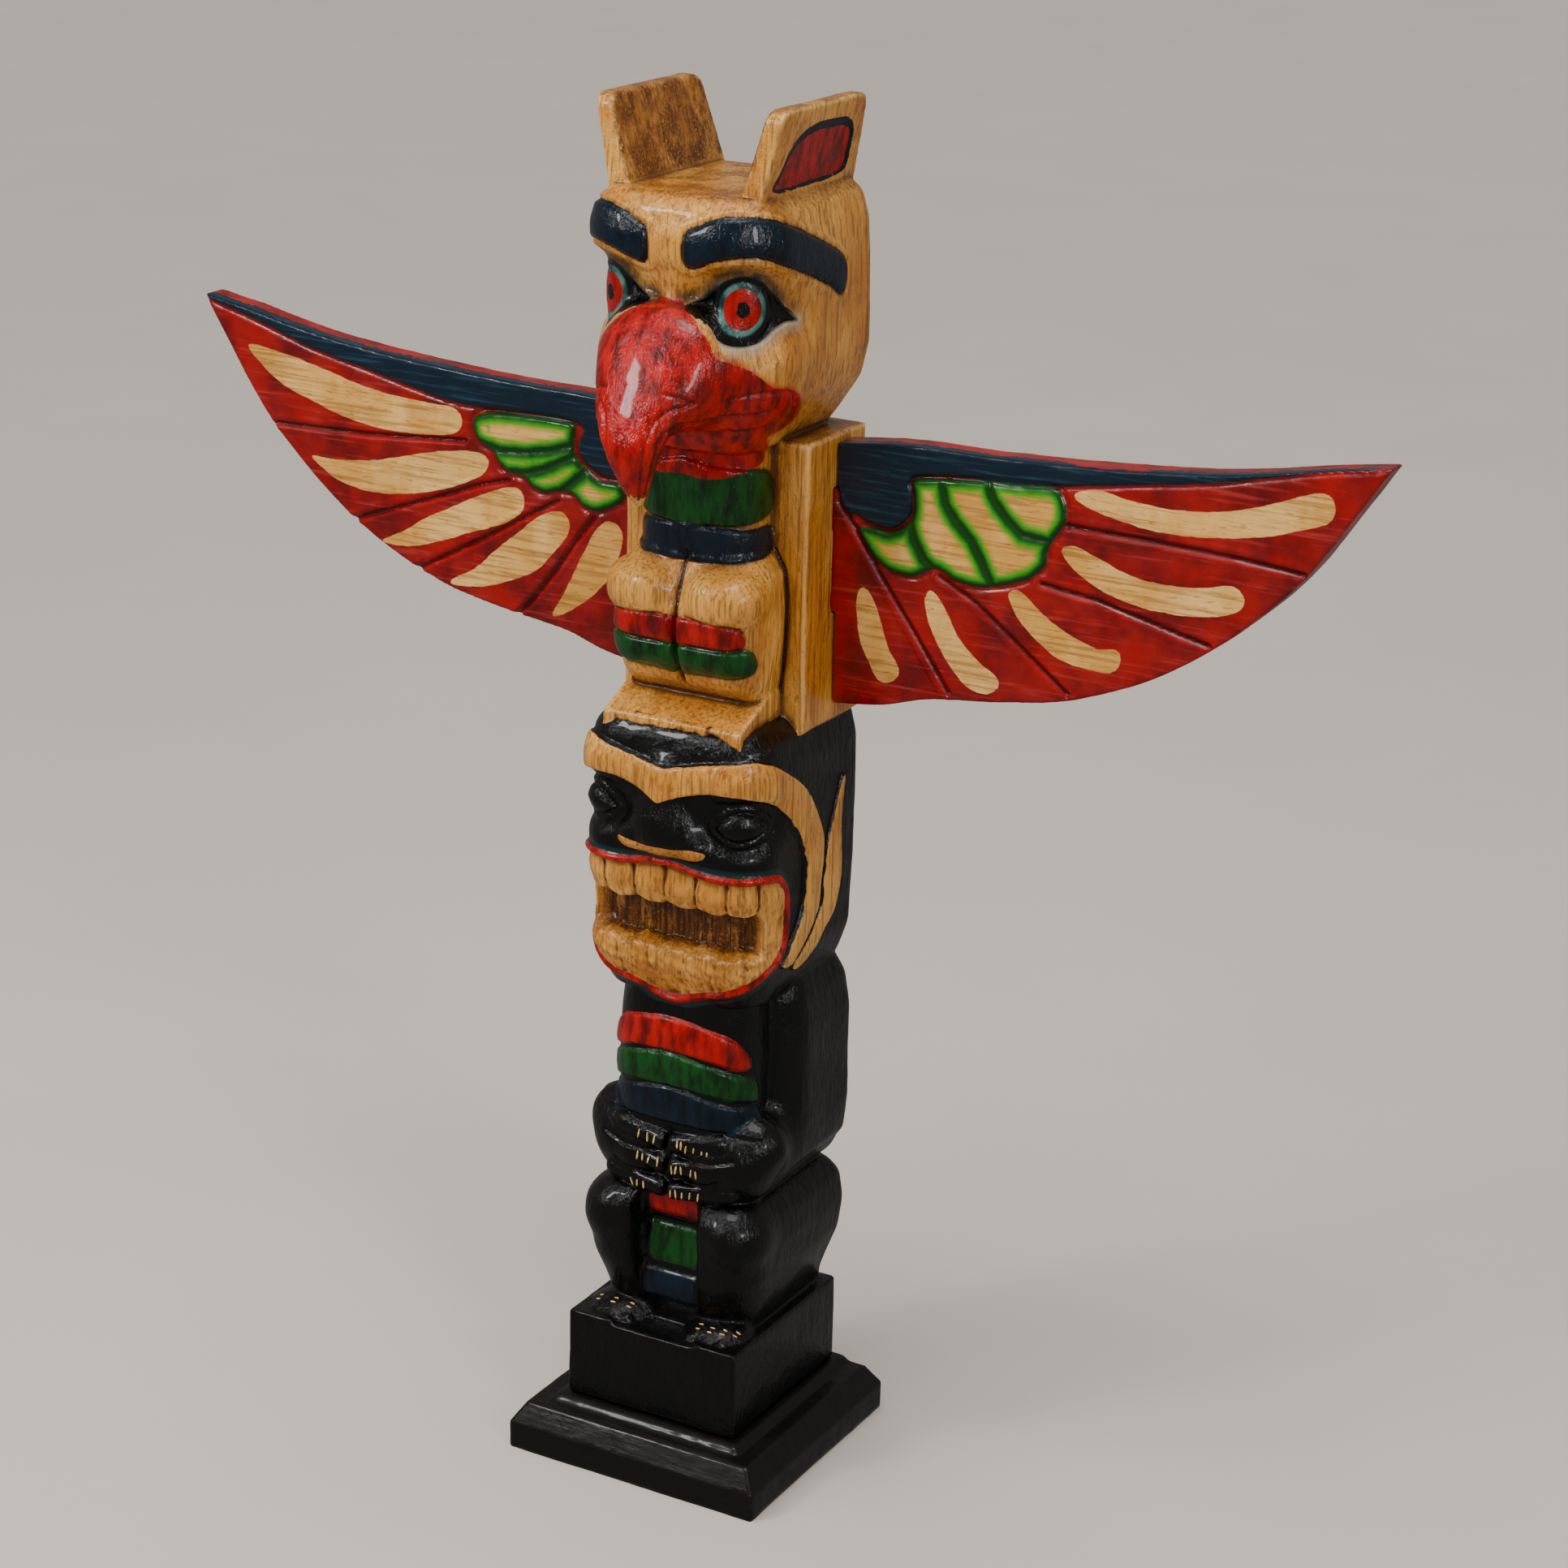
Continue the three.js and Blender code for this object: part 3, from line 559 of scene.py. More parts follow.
class PaintCoat:
    """The paint on a carved piece, as signed distances to the edge of each colour."""

    def __init__(self, points: Values, upwards: Values) -> None:
        """Starts with bare wood.

        Args:
            points: The piece's points in millimetres.
            upwards: How far each point's surface faces up, from -1 to 1.
        """
        self.x, self.y, self.z = points.T
        self.upwards = upwards
        self.layers = {paint: np.full(len(points), FAR) for paint in Paint if paint is not Paint.BARE}
        self.soft: dict[str, Values] = {}

    def lay(self, paint: Paint, distance: Values, where: Values | None = None) -> None:
        """Brushes one colour over what is there.

        Args:
            paint: The colour, or bare wood to wipe off what is there.
            distance: Signed distance to the edge, negative inside.
            where: Which points the distances are for, or None for all.
        """
        reach = distance
        if where is not None:
            reach = np.full(len(self.x), FAR)
            reach[where] = distance
        for other, layer in self.layers.items():
            if other is not paint:
                np.maximum(layer, -reach, out=layer)
        if paint is not Paint.BARE:
            np.minimum(self.layers[paint], reach, out=self.layers[paint])

    def lay_motif(self, zone: Zone, motif: Motif, paint: Paint | None = None,
                  inset: float = 0.0) -> None:
        """Paints a motif where it lies on its zone."""
        heights = [point[1] for point in motif.outline]
        where = (self.z > min(heights) - FAR) & (self.z < max(heights) + FAR)
        where &= self.y < zone_back(zone)
        spot = (self.x[where], self.y[where], self.z[where])
        off_zone = np.abs(zone.distance(*spot)) - motif.hug
        distance = motif.distance(zone.unroll(*spot), self.z[where]) + inset
        self.lay(paint or motif.paint, np.maximum(distance, off_zone), where)

    def unrolled(self, zone: Zone, where: Values) -> tuple[Values, Values]:
        """Distance round a zone and height of the chosen points."""
        return zone.unroll(self.x[where], self.y[where], self.z[where]), self.z[where]

    def shade(self, name: str, values: Values, where: Values, elsewhere: float) -> None:
        """Keeps a soft value for the finish to read.

        Args:
            name: Its name.
            values: The values at the chosen points.
            where: Which points those are.
            elsewhere: The value at all others, used when the name is new.
        """
        kept = self.soft.setdefault(name, np.full(len(self.x), elsewhere))
        kept[where] = values

    def write(self, piece: bpy.types.Object) -> None:
        """Stores the layers on the piece."""
        for paint, layer in self.layers.items():
            write_attribute(piece, f"paint_{paint.value}", np.clip(layer, -FAR, FAR))
        for name, values in self.soft.items():
            write_attribute(piece, name, values)


def zone_back(zone: Zone) -> float:
    """How far back a motif may reach on a zone, short of its back face."""
    return max(row[3] for row in zone.stations) - 14.0


@dataclass
class Plinth:
    """The plinth, in one with the figures."""

    half_width: float = 71.0
    front: float = 70.5
    back: float = 82.0
    top: float = 110.3
    edge: float = 2.2

    def carve(self, block: CarvingBlock) -> None:
        """Cuts the plinth to its size."""
        low, high = (-self.half_width, -self.front, FOOT), (self.half_width, self.back, self.top)
        block.add(slab(low, high, self.edge), (-80, -80, FOOT - 4), (80, 92, self.top + 14), 0)

    def paint(self, coat: PaintCoat) -> None:
        """Paints it black all over."""
        coat.lay(Paint.BLACK, coat.z - self.top - 6)


@dataclass
class SeatedBear:
    """The bear's body: legs drawn up, arms brought round to the belly, hands held together."""

    legs: Zone = field(default_factory=lambda: Zone((
        (100, 62, 44, 80, 26, 10), (118, 62, 44, 80, 27, 10), (132, 66, 49, 83, 32, 10),
        (152, 72, 55, 88, 32, 10), (178, 74.5, 57, 90, 29, 10), (198, 72.5, 57, 88, 27, 10),
        (213, 62, 48, 80, 24, 10)), cap=10.0))
    arms: Zone = field(default_factory=lambda: Zone((
        (211, 60, 38, 80, 22, 10), (222, 68, 45, 85, 25, 10), (236, 73.5, 49, 88, 26, 10),
        (250, 74, 49, 88, 26, 10), (264, 70, 44, 88, 27, 10), (279, 62, 32, 86, 30, 10)), cap=10.0))
    torso: Zone = field(default_factory=lambda: Zone((
        (236, 71, 2, 88, 24, 10), (262, 76, 4, 90, 28, 10), (335, 75.5, 3, 90, 28, 10),
        (360, 72, 0, 88, 25, 10), (378, 64, -4, 82, 22, 10))))
    belly: Zone = field(default_factory=lambda: Zone((
        (186, 50, 36, 44, 30, 10), (240, 54, 44, 44, 33, 10), (272, 55.5, 47.5, 44, 34, 10),
        (320, 56.5, 49, 44, 34, 10), (350, 55, 47, 44, 34, 10), (380, 52, 43.5, 44, 32, 10))))
    bands: tuple[Motif, ...] = (
        Motif(((-8, 351), (25, 350), (49, 341), (63, 326), (64, 318), (53, 318), (30, 326), (-8, 329)),
              Paint.RED, lift=1.6, crown=1.2, groove=1.0),
        Motif(((-8, 325), (28, 322), (53, 314), (70, 307), (72, 290), (58, 292), (30, 299), (-8, 302)),
              Paint.GREEN, lift=1.4, crown=1.2, groove=1.0),
        Motif(((-8, 298), (28, 295), (53, 288), (71, 286), (72, 269), (58, 267), (30, 271), (-8, 273)),
              Paint.NAVY, lift=1.4, crown=1.0, groove=1.0, hug=4.5),
    )
    lap_half: float = 21.0
    lap_depth: float = 32.0
    lap_lean: float = 12.0
    lap_bands: tuple[tuple[Paint, float, float], ...] = (
        (Paint.RED, 192.0, 208.0), (Paint.GREEN, 154.0, 182.0), (Paint.NAVY, 126.0, 148.0))
    finger_heights: tuple[float, ...] = (219.5, 238.5, 257.0)
    finger_front: float = 46.5
    finger_lines: tuple[tuple[Corner, ...], ...] = (
        ((3, -50, 247), (20, -51, 246), (36, -52, 247), (47, -50, 250), (54, -48, 252)),
        ((3, -50, 229), (20, -50, 227), (34, -50, 229), (44, -48, 234)))

    def carve(self, block: CarvingBlock) -> None:
        """Carves the body from the plinth up to the neck."""
        low, high = (-82, -72, 96), (82, 96, 392)
        block.add(self.legs.distance, low, (82, 96, 222), 2.0)
        block.cut(self.lap_gap, (-45, -72, 108), (45, 0, 224), 5.0)
        block.add(self.arms.distance, (-82, -72, 200), (82, 96, 298), 1.2)
        block.add(self.torso.distance, (-82, -30, 226), high, 9.0)
        block.add(self.belly.distance, (-70, -72, 180), high, 1.2)
        self.carve_limbs(block)
        for band in self.bands:
            block.emboss(self.belly, band.relief, (-70, -72, 255), (70, 10, 362))
        block.emboss(self.belly, self.lap_relief, (-24, -50, 112), (24, -20, 214))

    def lap_gap(self, x: Values, y: Values, z: Values) -> Values:
        """The hollow between the thighs, narrower at its back."""
        half = self.lap_half + np.maximum(-self.lap_depth - y, 0) * 0.35
        return np.maximum(np.maximum(np.abs(x) - half, y - self.lap_face(z)), z - 218) + 0 * z

    def lap_face(self, z: Values) -> Values:
        """Where the strip between the thighs lies, coming forward towards the feet."""
        return -self.lap_depth - self.lap_lean * ease(-z, -196, -122)

    def lap_relief(self, u: Values, z: Values) -> Values:
        """Low pillows on the strip between the thighs."""
        rise = np.zeros(z.shape)
        for _, low, high in self.lap_bands:
            rise += 1.6 * ease(np.minimum(z - low, high - z), -1.0, 3.0)
        return rise * (np.abs(u) < 40)

    def carve_limbs(self, block: CarvingBlock) -> None:
        """Carves thighs, forearms, fingers and toes."""
        for side in (1, -1):
            thigh = ball((side * 49, -30, 186), (25, 30, 24), side * 0.2)
            block.add(thigh, (-82, -72, 150), (82, 10, 222), 8.0)
            forearm = capsule((side * 60, -18, 254), (side * 30, -38, 238), 20, 16)
            block.add(forearm, (-82, -72, 210), (82, 20, 292), 8.0)
            for rank, height in enumerate(self.finger_heights):
                tip = (side * 5.5, -self.finger_front, height - 1.5)
                root = (side * (47 - 4 * rank), -self.finger_front + 5.5, height + 3)
                block.add(capsule(root, tip, 8.6, 7.6), (-62, -66, 206), (62, -26, 278), 1.2)
            for line in self.finger_lines:
                block.score(tuple((side * x, y, z) for x, y, z in line), 1.6, 1.8)
            self.carve_foot(block, side)
        block.cut(slab((-1.8, -70, 208), (1.8, -46, 268), 0.8), (-6, -72, 204), (6, -40, 272), 2.5)

    def carve_foot(self, block: CarvingBlock, side: int) -> None:
        """Carves one foot as a low mound with three toes."""
        foot = ball((side * 41, -40, 108), (26, 22, 12))
        block.add(foot, (-82, -72, 104), (82, 0, 130), 3.0)
        for toe in (-1, 0, 1):
            middle = side * (41 + 13 * toe)
            block.add(capsule((middle, -46, 109), (middle, -58, 107.5), 6.5, 5.5),
                      (-82, -72, 104), (82, -20, 124), 1.5)

    def paint(self, coat: PaintCoat) -> None:
        """Paints the body black, and the bands of the belly and the lap in their colours."""
        coat.lay(Paint.BLACK, coat.z - 577)
        for band in self.bands:
            coat.lay_motif(self.belly, band)
        near = np.abs(coat.y - self.lap_face(coat.z)) < 7 + 6 * ease(coat.z, 182, 192)
        strip = (np.abs(coat.x) < 34) & near & (coat.z < 210)
        for paint, low, high in self.lap_bands:
            tall = np.maximum(low - coat.z, coat.z - high)[strip]
            wide = (np.abs(coat.x) - self.lap_half + 1.5)[strip]
            coat.lay(paint, np.maximum(tall, wide), strip)


@dataclass
class BearHead:
    """The bear's head: brow band, eyes, broad nose, bared teeth and cheek bands."""

    zone: Zone = field(default_factory=lambda: Zone((
        (366, 62, 42, 80, 27, 10), (380, 68, 50, 84, 30, 10), (400, 73.5, 55.5, 88, 33, 10),
        (450, 74.5, 57.5, 90, 33, 10), (475, 75, 60, 90, 31, 10), (500, 75, 61.5, 90, 30, 10),
        (545, 74, 61.5, 90, 30, 10), (565, 70, 56, 88, 28, 10), (575, 60, 50, 82, 26, 10))))
    brow: Motif = Motif((
        (-9, 549), (3, 547), (42, 555), (68, 558), (97, 547), (131, 524), (153, 490), (155, 468),
        (149.5, 449), (146, 428), (134, 413.6), (120, 403), (104, 394), (92, 400), (103, 409),
        (115, 421), (124, 435), (128, 456), (129.6, 468.5), (125, 486), (103.5, 512), (86, 524.6),
        (61, 532.7), (37, 532.6), (13, 526), (-9, 521)),
        Paint.BARE, lift=3.2, edge=1.2, crown=0.6, groove=0.8)
    cheek: Motif = Motif((
        (188, 521), (184, 485), (181, 442), (172, 419), (157, 406), (142, 394), (119, 386),
        (109, 391), (124, 402), (139, 412), (152, 426), (155, 448), (164, 476)),
        Paint.BARE, lift=2.4, edge=1.2, groove=1.0)
    lips: Motif = Motif((
        (-12, 470.5), (38, 473), (87, 472), (100, 463), (104, 449), (104, 430), (101, 415), (92, 404),
        (80, 396), (61, 384), (34, 374.5), (-12, 371)), Paint.RED)
    eye: Motif = Motif((
        (37, 507), (48, 518), (62, 523), (76, 520), (90, 510), (78, 501), (62, 496.5), (48, 499)),
        Paint.BLACK)
    lip_width: float = 5.2
    hollow: tuple[float, float, float] = (77.0, 410.0, 441.0)
    hollow_depth: float = 15.0
    upper_gaps: tuple[float, ...] = (0.0, 25.0, 50.0, 74.0)
    lower_gaps: tuple[float, ...] = (13.0, 38.0, 62.0)
    nose_rim: Motif = Motif((
        (-8, 490.5), (12, 490), (27, 492), (36, 490), (35, 484.5), (24, 481.5), (-8, 480.5)), Paint.BARE)

    def carve(self, block: CarvingBlock) -> None:
        """Carves the head on the body."""
        low, high = (-84, -90, 360), (84, 96, 584)
        block.add(self.zone.distance, low, high, 1.2)
        block.emboss(self.zone, self.eye_relief, (-84, -80, 480), (84, 20, 545))
        block.emboss(self.zone, self.brow.relief, low, (84, 76, 584))
        block.emboss(self.zone, self.cheek.relief, low, (84, 76, 584))
        self.carve_nose(block)
        block.emboss(self.zone, self.mouth_relief, (-84, -80, 362), (84, 60, 482), 22.0)

    def carve_nose(self, block: CarvingBlock) -> None:
        """Carves the broad nose and its wings."""
        low, high = (-50, -86, 470), (50, -30, 556)
        block.add(ball((0, -54, 518), (19, 15, 34)), low, high, 8.0)
        block.add(ball((0, -57, 500), (27, 17, 20)), low, high, 9.0)
        for side in (1, -1):
            block.add(ball((side * 25, -57, 491), (11, 12, 9.5), side * 0.4), low, high, 8.0)
            block.cut(ball((side * 13, -74, 486), (5, 5, 3)), low, high, 2.0)

    def eye_relief(self, u: Values, z: Values) -> Values:
        """A hollow under the brow with a lidded eye in it."""
        d = self.eye.distance(u, z)
        hollow = -6.5 * bell(np.maximum(d, 0), 12.0)
        hollow = hollow * ease(z, 480, 494) * ease(-z, -533, -525)
        lid = 3.0 * bell(d - 0.8, 2.2)
        swell = 7.5 * dome(-d / 12.0)
        return hollow + lid + swell - 2.4 * bell(d + 2.2, 1.4)

    def mouth_relief(self, u: Values, z: Values) -> Values:
        """Lips, two rows of teeth and the hollow between them."""
        d = self.lips.distance(u, z)
        lip = 3.6 * bell(d + 2.4, 2.6)
        inside = ease(-d, 4.0, 8.0)
        depth = self.hollow_depth * ease(-self.cavity(u, z), -2.5, 4.0)
        swell = 3.2 * bell(z - 455, 9.0) + 3.6 * bell(z - 396, 12.0)
        gaps = np.zeros(u.shape)
        for place in self.upper_gaps:
            slant = np.abs(u) - place - (z - 457) * 0.06
            gaps += 2.6 * bell(slant, 1.6) * ease(z, 434, 444)
        for place in self.lower_gaps:
            wavy = np.abs(u) - place + 2 * np.sin(z * 0.2)
            gaps += 1.3 * bell(wavy, 2.0) * ease(-z, -414, -404)
        chips = np.sin(u * 0.37 + z * 0.23 + 2 * np.sin(z * 0.11))
        chips = chips * np.sin(z * 0.31 - u * 0.17 + np.sin(u * 0.23)) * ease(-z, -452, -436)
        return lip + inside * (swell - gaps + 0.8 * chips - 1.0) - depth * inside

    def cavity(self, u: Values, z: Values) -> Values:
        """Signed distance to the hollow between the rows of teeth, scalloped along its top."""
        half, low, high = self.hollow
        nearest = np.minimum.reduce([np.abs(np.abs(u) - place) for place in self.upper_gaps])
        ragged = np.sin(u * 0.23) + 0.7 * np.sin(u * 0.53 + 1.3)
        top = high + 2.4 - 0.3 * np.minimum(nearest, 12.0) + 0.5 * ragged
        across = np.maximum(np.abs(u) - half + 9 + 0.5 * ragged, 0)
        tall = np.maximum(np.maximum(low + 9 - z + 0.8 * ragged, z - top + 9), 0)
        return np.hypot(across, tall) - 9

    def paint(self, coat: PaintCoat) -> None:
        """Leaves brow, cheeks, nose rim and teeth bare in the black, and paints the lips."""
        for motif in (self.brow, self.cheek, self.nose_rim, self.lips):
            coat.lay_motif(self.zone, motif)
        coat.lay_motif(self.zone, self.lips, Paint.BARE, self.lip_width)
        where = (coat.z > 362) & (coat.z < 484) & (coat.y < 40)
        u, z = coat.unrolled(self.zone, where)
        coat.shade("lip_edge", self.lips.distance(u, z), where, FAR)
        # Darker in the hollow between the rows of teeth and just below it: wiped stain, and in the hollow
        # painted shade
        gap = self.cavity(u, z)
        below = 0.55 * ease(gap, 16, 1) * (z < 420)
        coat.shade("stain", np.maximum(0.95 * ease(-gap, -2.5, 3.0), below), where, 0.0)


@dataclass
class BirdBody:
    """The bird's throat and breast, the ledge it stands on and its two shoulder boards."""

    zone: Zone = field(default_factory=lambda: Zone((
        (560, 52, 18, 88, 8, 10), (590, 53, 22, 88, 12, 10), (602, 55.5, 38, 88, 21, 10),
        (620, 57, 46, 88, 24, 10), (634, 58, 50, 88, 25, 10), (655, 58.5, 51, 88, 26, 10),
        (680, 56, 42, 88, 28, 10), (696, 45.5, 33.5, 88, 30, 10), (740, 45, 35, 88, 31, 10),
        (782, 45, 38, 88, 31, 10)), soften=4))
    bands: tuple[Motif, ...] = (
        Motif(((-8, 759), (20, 758), (47, 755), (68, 748), (69, 724), (50, 717), (20, 716), (-8, 716)),
              Paint.GREEN, lift=2.0, crown=1.4, groove=1.0),
        Motif(((-8, 714), (20, 714), (48, 712), (68, 711), (70, 695), (48, 691.5), (20, 690.5), (-8, 691)),
              Paint.NAVY, lift=1.6, crown=1.2, groove=1.0, hug=5.0),
        Motif(((1.5, 651), (20, 652), (40, 651), (51, 648), (54, 637), (42, 634), (15, 633.5), (1.5, 633)),
              Paint.RED, lift=1.4, crown=1.8, groove=1.2),
        Motif(((1.5, 631), (20, 631.5), (42, 632), (59, 632), (62, 618), (48, 612), (20, 611), (1.5, 611)),
              Paint.GREEN, lift=1.2, crown=1.8, groove=1.2),
    )
    ledge_half: float = 55.5
    ledge_front: float = 52.0
    board_seam: Outline = ((54, 592), (57, 610), (58.5, 635), (59, 660), (57, 680), (48, 696))
    board_inner: float = 46.0
    board_outer: float = 73.0
    board_front: float = 5.0
    board_low: float = 563.3
    board_high: float = 771.3
    slot_front: float = 42.7
    slot_back: float = 67.3
    slot_middle: float = 688.1
    slot_half: float = 44.8
    slot_depth: float = 13.3

    def carve(self, block: CarvingBlock) -> None:
        """Carves the body between the bear's and the bird's heads."""
        block.add(self.ledge, (-66, -62, 560), (66, 96, 606), 1.0)
        block.add(self.zone.distance, (-60, -62, 556), (60, 96, 790), 2.0)
        for side in (1, -1):
            lump = ball((side * 30.5, -27, 665), (30.5, 30.5, 22.5), side * 0.14, 0.0, 2.4)
            block.add(lump, (-66, -64, 636), (66, 14, 710), 2.5)
        for band in self.bands:
            block.emboss(self.zone, band.relief, (-60, -64, 610), (60, 30, 768))
        block.emboss(self.zone, self.cleft, (-12, -66, 592), (12, 0, 702))
        self.carve_boards(block)

    def cleft(self, u: Values, z: Values) -> Values:
        """The cut down the middle between the two halves of the breast."""
        return -5.5 * bell(u, 2.6) * ease(z, 594, 606) * ease(-z, -701, -690)

    def ledge(self, x: Values, y: Values, z: Values) -> Values:
        """The sloping ledge under the breast."""
        front = np.maximum(-self.ledge_front - y, y - 6)
        slope = (z - 576) * 0.92 - (np.minimum(y, -8) + self.ledge_front) * 0.4 + 0 * x
        plan = np.maximum(front, np.abs(x) - self.ledge_half)
        return soft_max(soft_max(plan, slope, 2.0), 565 - z, 1.5)

    def carve_boards(self, block: CarvingBlock) -> None:
        """Adds the shoulder boards with their seams and the slots for the wings."""
        inner, outer = self.board_inner, self.board_outer
        for side in (1, -1):
            xs = sorted((side * (inner - 6), side * outer))
            board = slab((xs[0], self.board_front, self.board_low), (xs[1], 88, self.board_high), 2.6)
            block.add(board, (-84, 0, 556), (84, 96, 780), 0.4)
            block.score(tuple((side * x, 4.5, z) for x, z in self.board_seam), 1.1, 1.0)
            mouth = sorted((side * (outer - self.slot_depth), side * (outer + 6)))
            block.cut(slab(
                (mouth[0], self.slot_front, self.slot_middle - self.slot_half),
                (mouth[1], self.slot_back, self.slot_middle + self.slot_half), 0.1),
                (-84, 36, 636), (84, 74, 742), 0)

    def paint(self, coat: PaintCoat) -> None:
        """Leaves the wood bare but for the bands."""
        ledge = np.maximum(self.ledge(coat.x, coat.y, coat.z) - 1.2, 562.5 - coat.z)
        low = np.where(coat.y > self.board_front + 3, self.board_low, 576)
        trunk = np.maximum(self.zone.distance(coat.x, coat.y, coat.z) - 1.2, low - coat.z)
        coat.lay(Paint.BARE, np.maximum(np.minimum(ledge, trunk), coat.z - 790))
        for band in self.bands:
            coat.lay_motif(self.zone, band)
        boards = (np.abs(coat.x) > self.board_inner) & (coat.y > self.board_front - 2.4)
        boards &= (coat.y > self.board_front - 1.1) | (coat.z > 580)
        boards &= (coat.z > self.board_low - 1) & (coat.z < self.board_high + 2)
        coat.lay(Paint.BARE, np.full(int(boards.sum()), -FAR), boards)
        tops = (coat.z > self.board_high - 6) & (coat.z < self.board_high + 3) & boards
        coat.shade("stain", 0.5 * ease(coat.upwards[tops], 0.5, 0.9), tops, 0.0)


@dataclass
class BirdHead:
    """The bird's head: brows, eyes, hooked beak and tall ears."""

    zone: Zone = field(default_factory=lambda: Zone((
        (768, 48, 42, 78, 30, 10), (788, 61, 52, 82, 34, 10), (806, 71, 59, 88, 40, 10),
        (830, 75.5, 63, 90, 46, 10), (870, 75, 61, 90, 48, 10), (892, 74, 62, 90, 46, 10),
        (903, 73.5, 66, 89.5, 42, 10), (917, 72.5, 66, 89, 40, 10), (934, 68.5, 62, 87, 36, 10),
        (943.3, 60, 56, 83, 28, 10)), soften=5, cap=5.0))
    brow: Motif = Motif((
        (15, 919), (23.5, 925), (40, 932), (62, 933), (87.5, 927), (121, 915.5), (160, 896), (157, 870),
        (135, 881), (93, 898), (67, 908), (43, 906), (17, 898)),
        Paint.NAVY, lift=1.2, crown=1.0, groove=2.0)
    brow_ridge: Motif = Motif((
        (9, 921), (20, 930), (40, 937.5), (63, 938), (90, 931), (123, 920), (165, 900), (162, 864),
        (134, 875), (91, 892), (66, 902.5), (44, 900.5), (11, 892)), Paint.BARE, lift=1.6)
    eye: Motif = Motif((
        (14, 871), (24, 876), (33, 883), (43, 890), (55, 893.5), (67, 890.5), (77, 882.5), (90, 871),
        (109, 859.5), (94, 860), (82, 856.5), (73, 850.5), (64, 847.5), (54, 847), (44, 850), (35, 858),
        (26, 865)), Paint.BLACK)
    eye_centre: tuple[float, float] = (54.5, 871.5)
    rings: tuple[float, float, float] = (18.2, 14.2, 6.0)
    mask: Motif = Motif((
        (-10, 868), (12, 860), (31, 848), (50, 838), (65, 829), (78, 819), (92, 816), (104, 810),
        (109, 799), (106, 790), (88, 783), (68, 779), (64, 757), (-10, 756)), Paint.RED, lift=0.5, edge=2.5)
    beak_crown: Outline = (
        (-16, 882), (9, 873), (24, 866), (36, 855), (46, 841), (57, 828), (75, 812), (75, 735), (-16, 735))
    beak_rings: tuple[tuple[float, ...], ...] = (
        (-38, 872, -38, 788, 60), (-62, 873, -58, 787, 54), (-88, 869, -70, 787, 43),
        (-108, 854, -77, 785, 33.5), (-116, 828, -81, 778, 26), (-115.2, 794, -85.5, 768, 18.5),
        (-110, 765, -90, 755, 11), (-101, 745.5, -96.5, 743.5, 3.5))
    beak_cuts: tuple[tuple[Corner, ...], ...] = (
        ((37.8, -89.8, 814), (25.5, -105.3, 810), (19.2, -110.1, 803), (16, -114.9, 790),
         (14.3, -115.7, 780), (10.2, -111.4, 765), (3.6, -102.7, 747)),
        ((23.2, -101.7, 820.6), (34.8, -95.2, 816.8), (37.8, -89.8, 814)),
        ((48.2, -65.2, 813.4), (64.3, -44.8, 815.8), (72.5, -26.5, 815.4), (73.5, -18, 812),
         (71.9, -14.2, 806), (69, -8, 798)),
        ((63.9, -38.2, 801.3), (43.7, -57.1, 800.2), (33.4, -76.7, 799.3), (29.8, -98, 801),
         (25.6, -107.7, 795.6), (21.9, -109.1, 787.1), (17.6, -107, 776.5), (13.2, -103.5, 764.1),
         (7.5, -100.4, 751)),
        ((62.2, -26.6, 791), (50, -40, 789.5), (40, -50.5, 788), (26, -52, 783)))
    ear_low: float = 938.0
    ear_base: float = 943.3
    ear_rise: float = 59.0
    ear_panel: Outline = (
        (-27, 946.5), (-24, 960), (-18, 973), (-8, 982), (8, 987), (30, 988), (54, 986), (65, 979),
        (68, 962), (64, 948), (20, 945.5))

    def carve(self, block: CarvingBlock) -> None:
        """Carves the head, then what stands on it."""
        low, high = (-84, -84, 764), (84, 98, 954)
        block.add(self.zone.distance, low, high, 1.5)
        block.emboss(self.zone, self.eye_relief, (-84, -80, 820), (84, 40, 925), 12.0)
        block.emboss(self.zone, self.brow_ridge.relief, (-84, -80, 850), (84, 80, 950))
        block.emboss(self.zone, self.brow.relief, (-84, -80, 850), (84, 80, 950))
        block.emboss(self.zone, self.mask.relief, (-84, -80, 750), (84, 40, 876))
        block.add(self.beak, (-70, -126, 738), (70, -20, 884), 9.0)
        self.carve_mouth_lines(block)
        self.carve_ears(block)

    def eye_relief(self, u: Values, z: Values) -> Values:
        """The hollow under the brow, the lids and the round eye."""
        d = self.eye.distance(u, z)
        r = np.hypot(np.abs(u) - self.eye_centre[0], z - self.eye_centre[1])
        hollow = -7.5 * bell(np.maximum(d, 0), 13.0) * ease(-z, -906, -892)
        lid = 1.8 * bell(d - 1.2, 2.2)
        floor = -2.2 * ease(-d, -1.0, 2.0)
        globe = 7.0 * dome(1 - (r / 24.5) ** 2)
        ring = sum(0.7 * bell(r - radius, 0.9) for radius in self.rings[:2])
        return hollow + lid + floor + globe * ease(-d, -1.5, 1.0) - ring

    def beak(self, x: Values, y: Values, z: Values) -> Values:
        """The hooked beak as a row of flat balls from its root to its tip."""
        rows = np.array(self.beak_rings, dtype=float)
        whole = None
        for place in np.linspace(0, len(rows) - 1, 25):
            top_y, top_z, low_y, low_z, half = (
                np.interp(place, np.arange(len(rows)), rows[:, k]) for k in range(5))
            tall = math.hypot(top_y - low_y, top_z - low_z) / 2
            lean = math.atan2(-(top_y - low_y), top_z - low_z)
            centre = (0.0, (top_y + low_y) / 2, (top_z + low_z) / 2)
            thick = max(7.0, 0.34 * half) if half > 5 else 3.0
            ring = ball(centre, (half, thick, tall), 0.0, -lean, 2.25)(x, y, z)
            whole = ring if whole is None else soft_min(whole, ring, 3.0)
        return whole

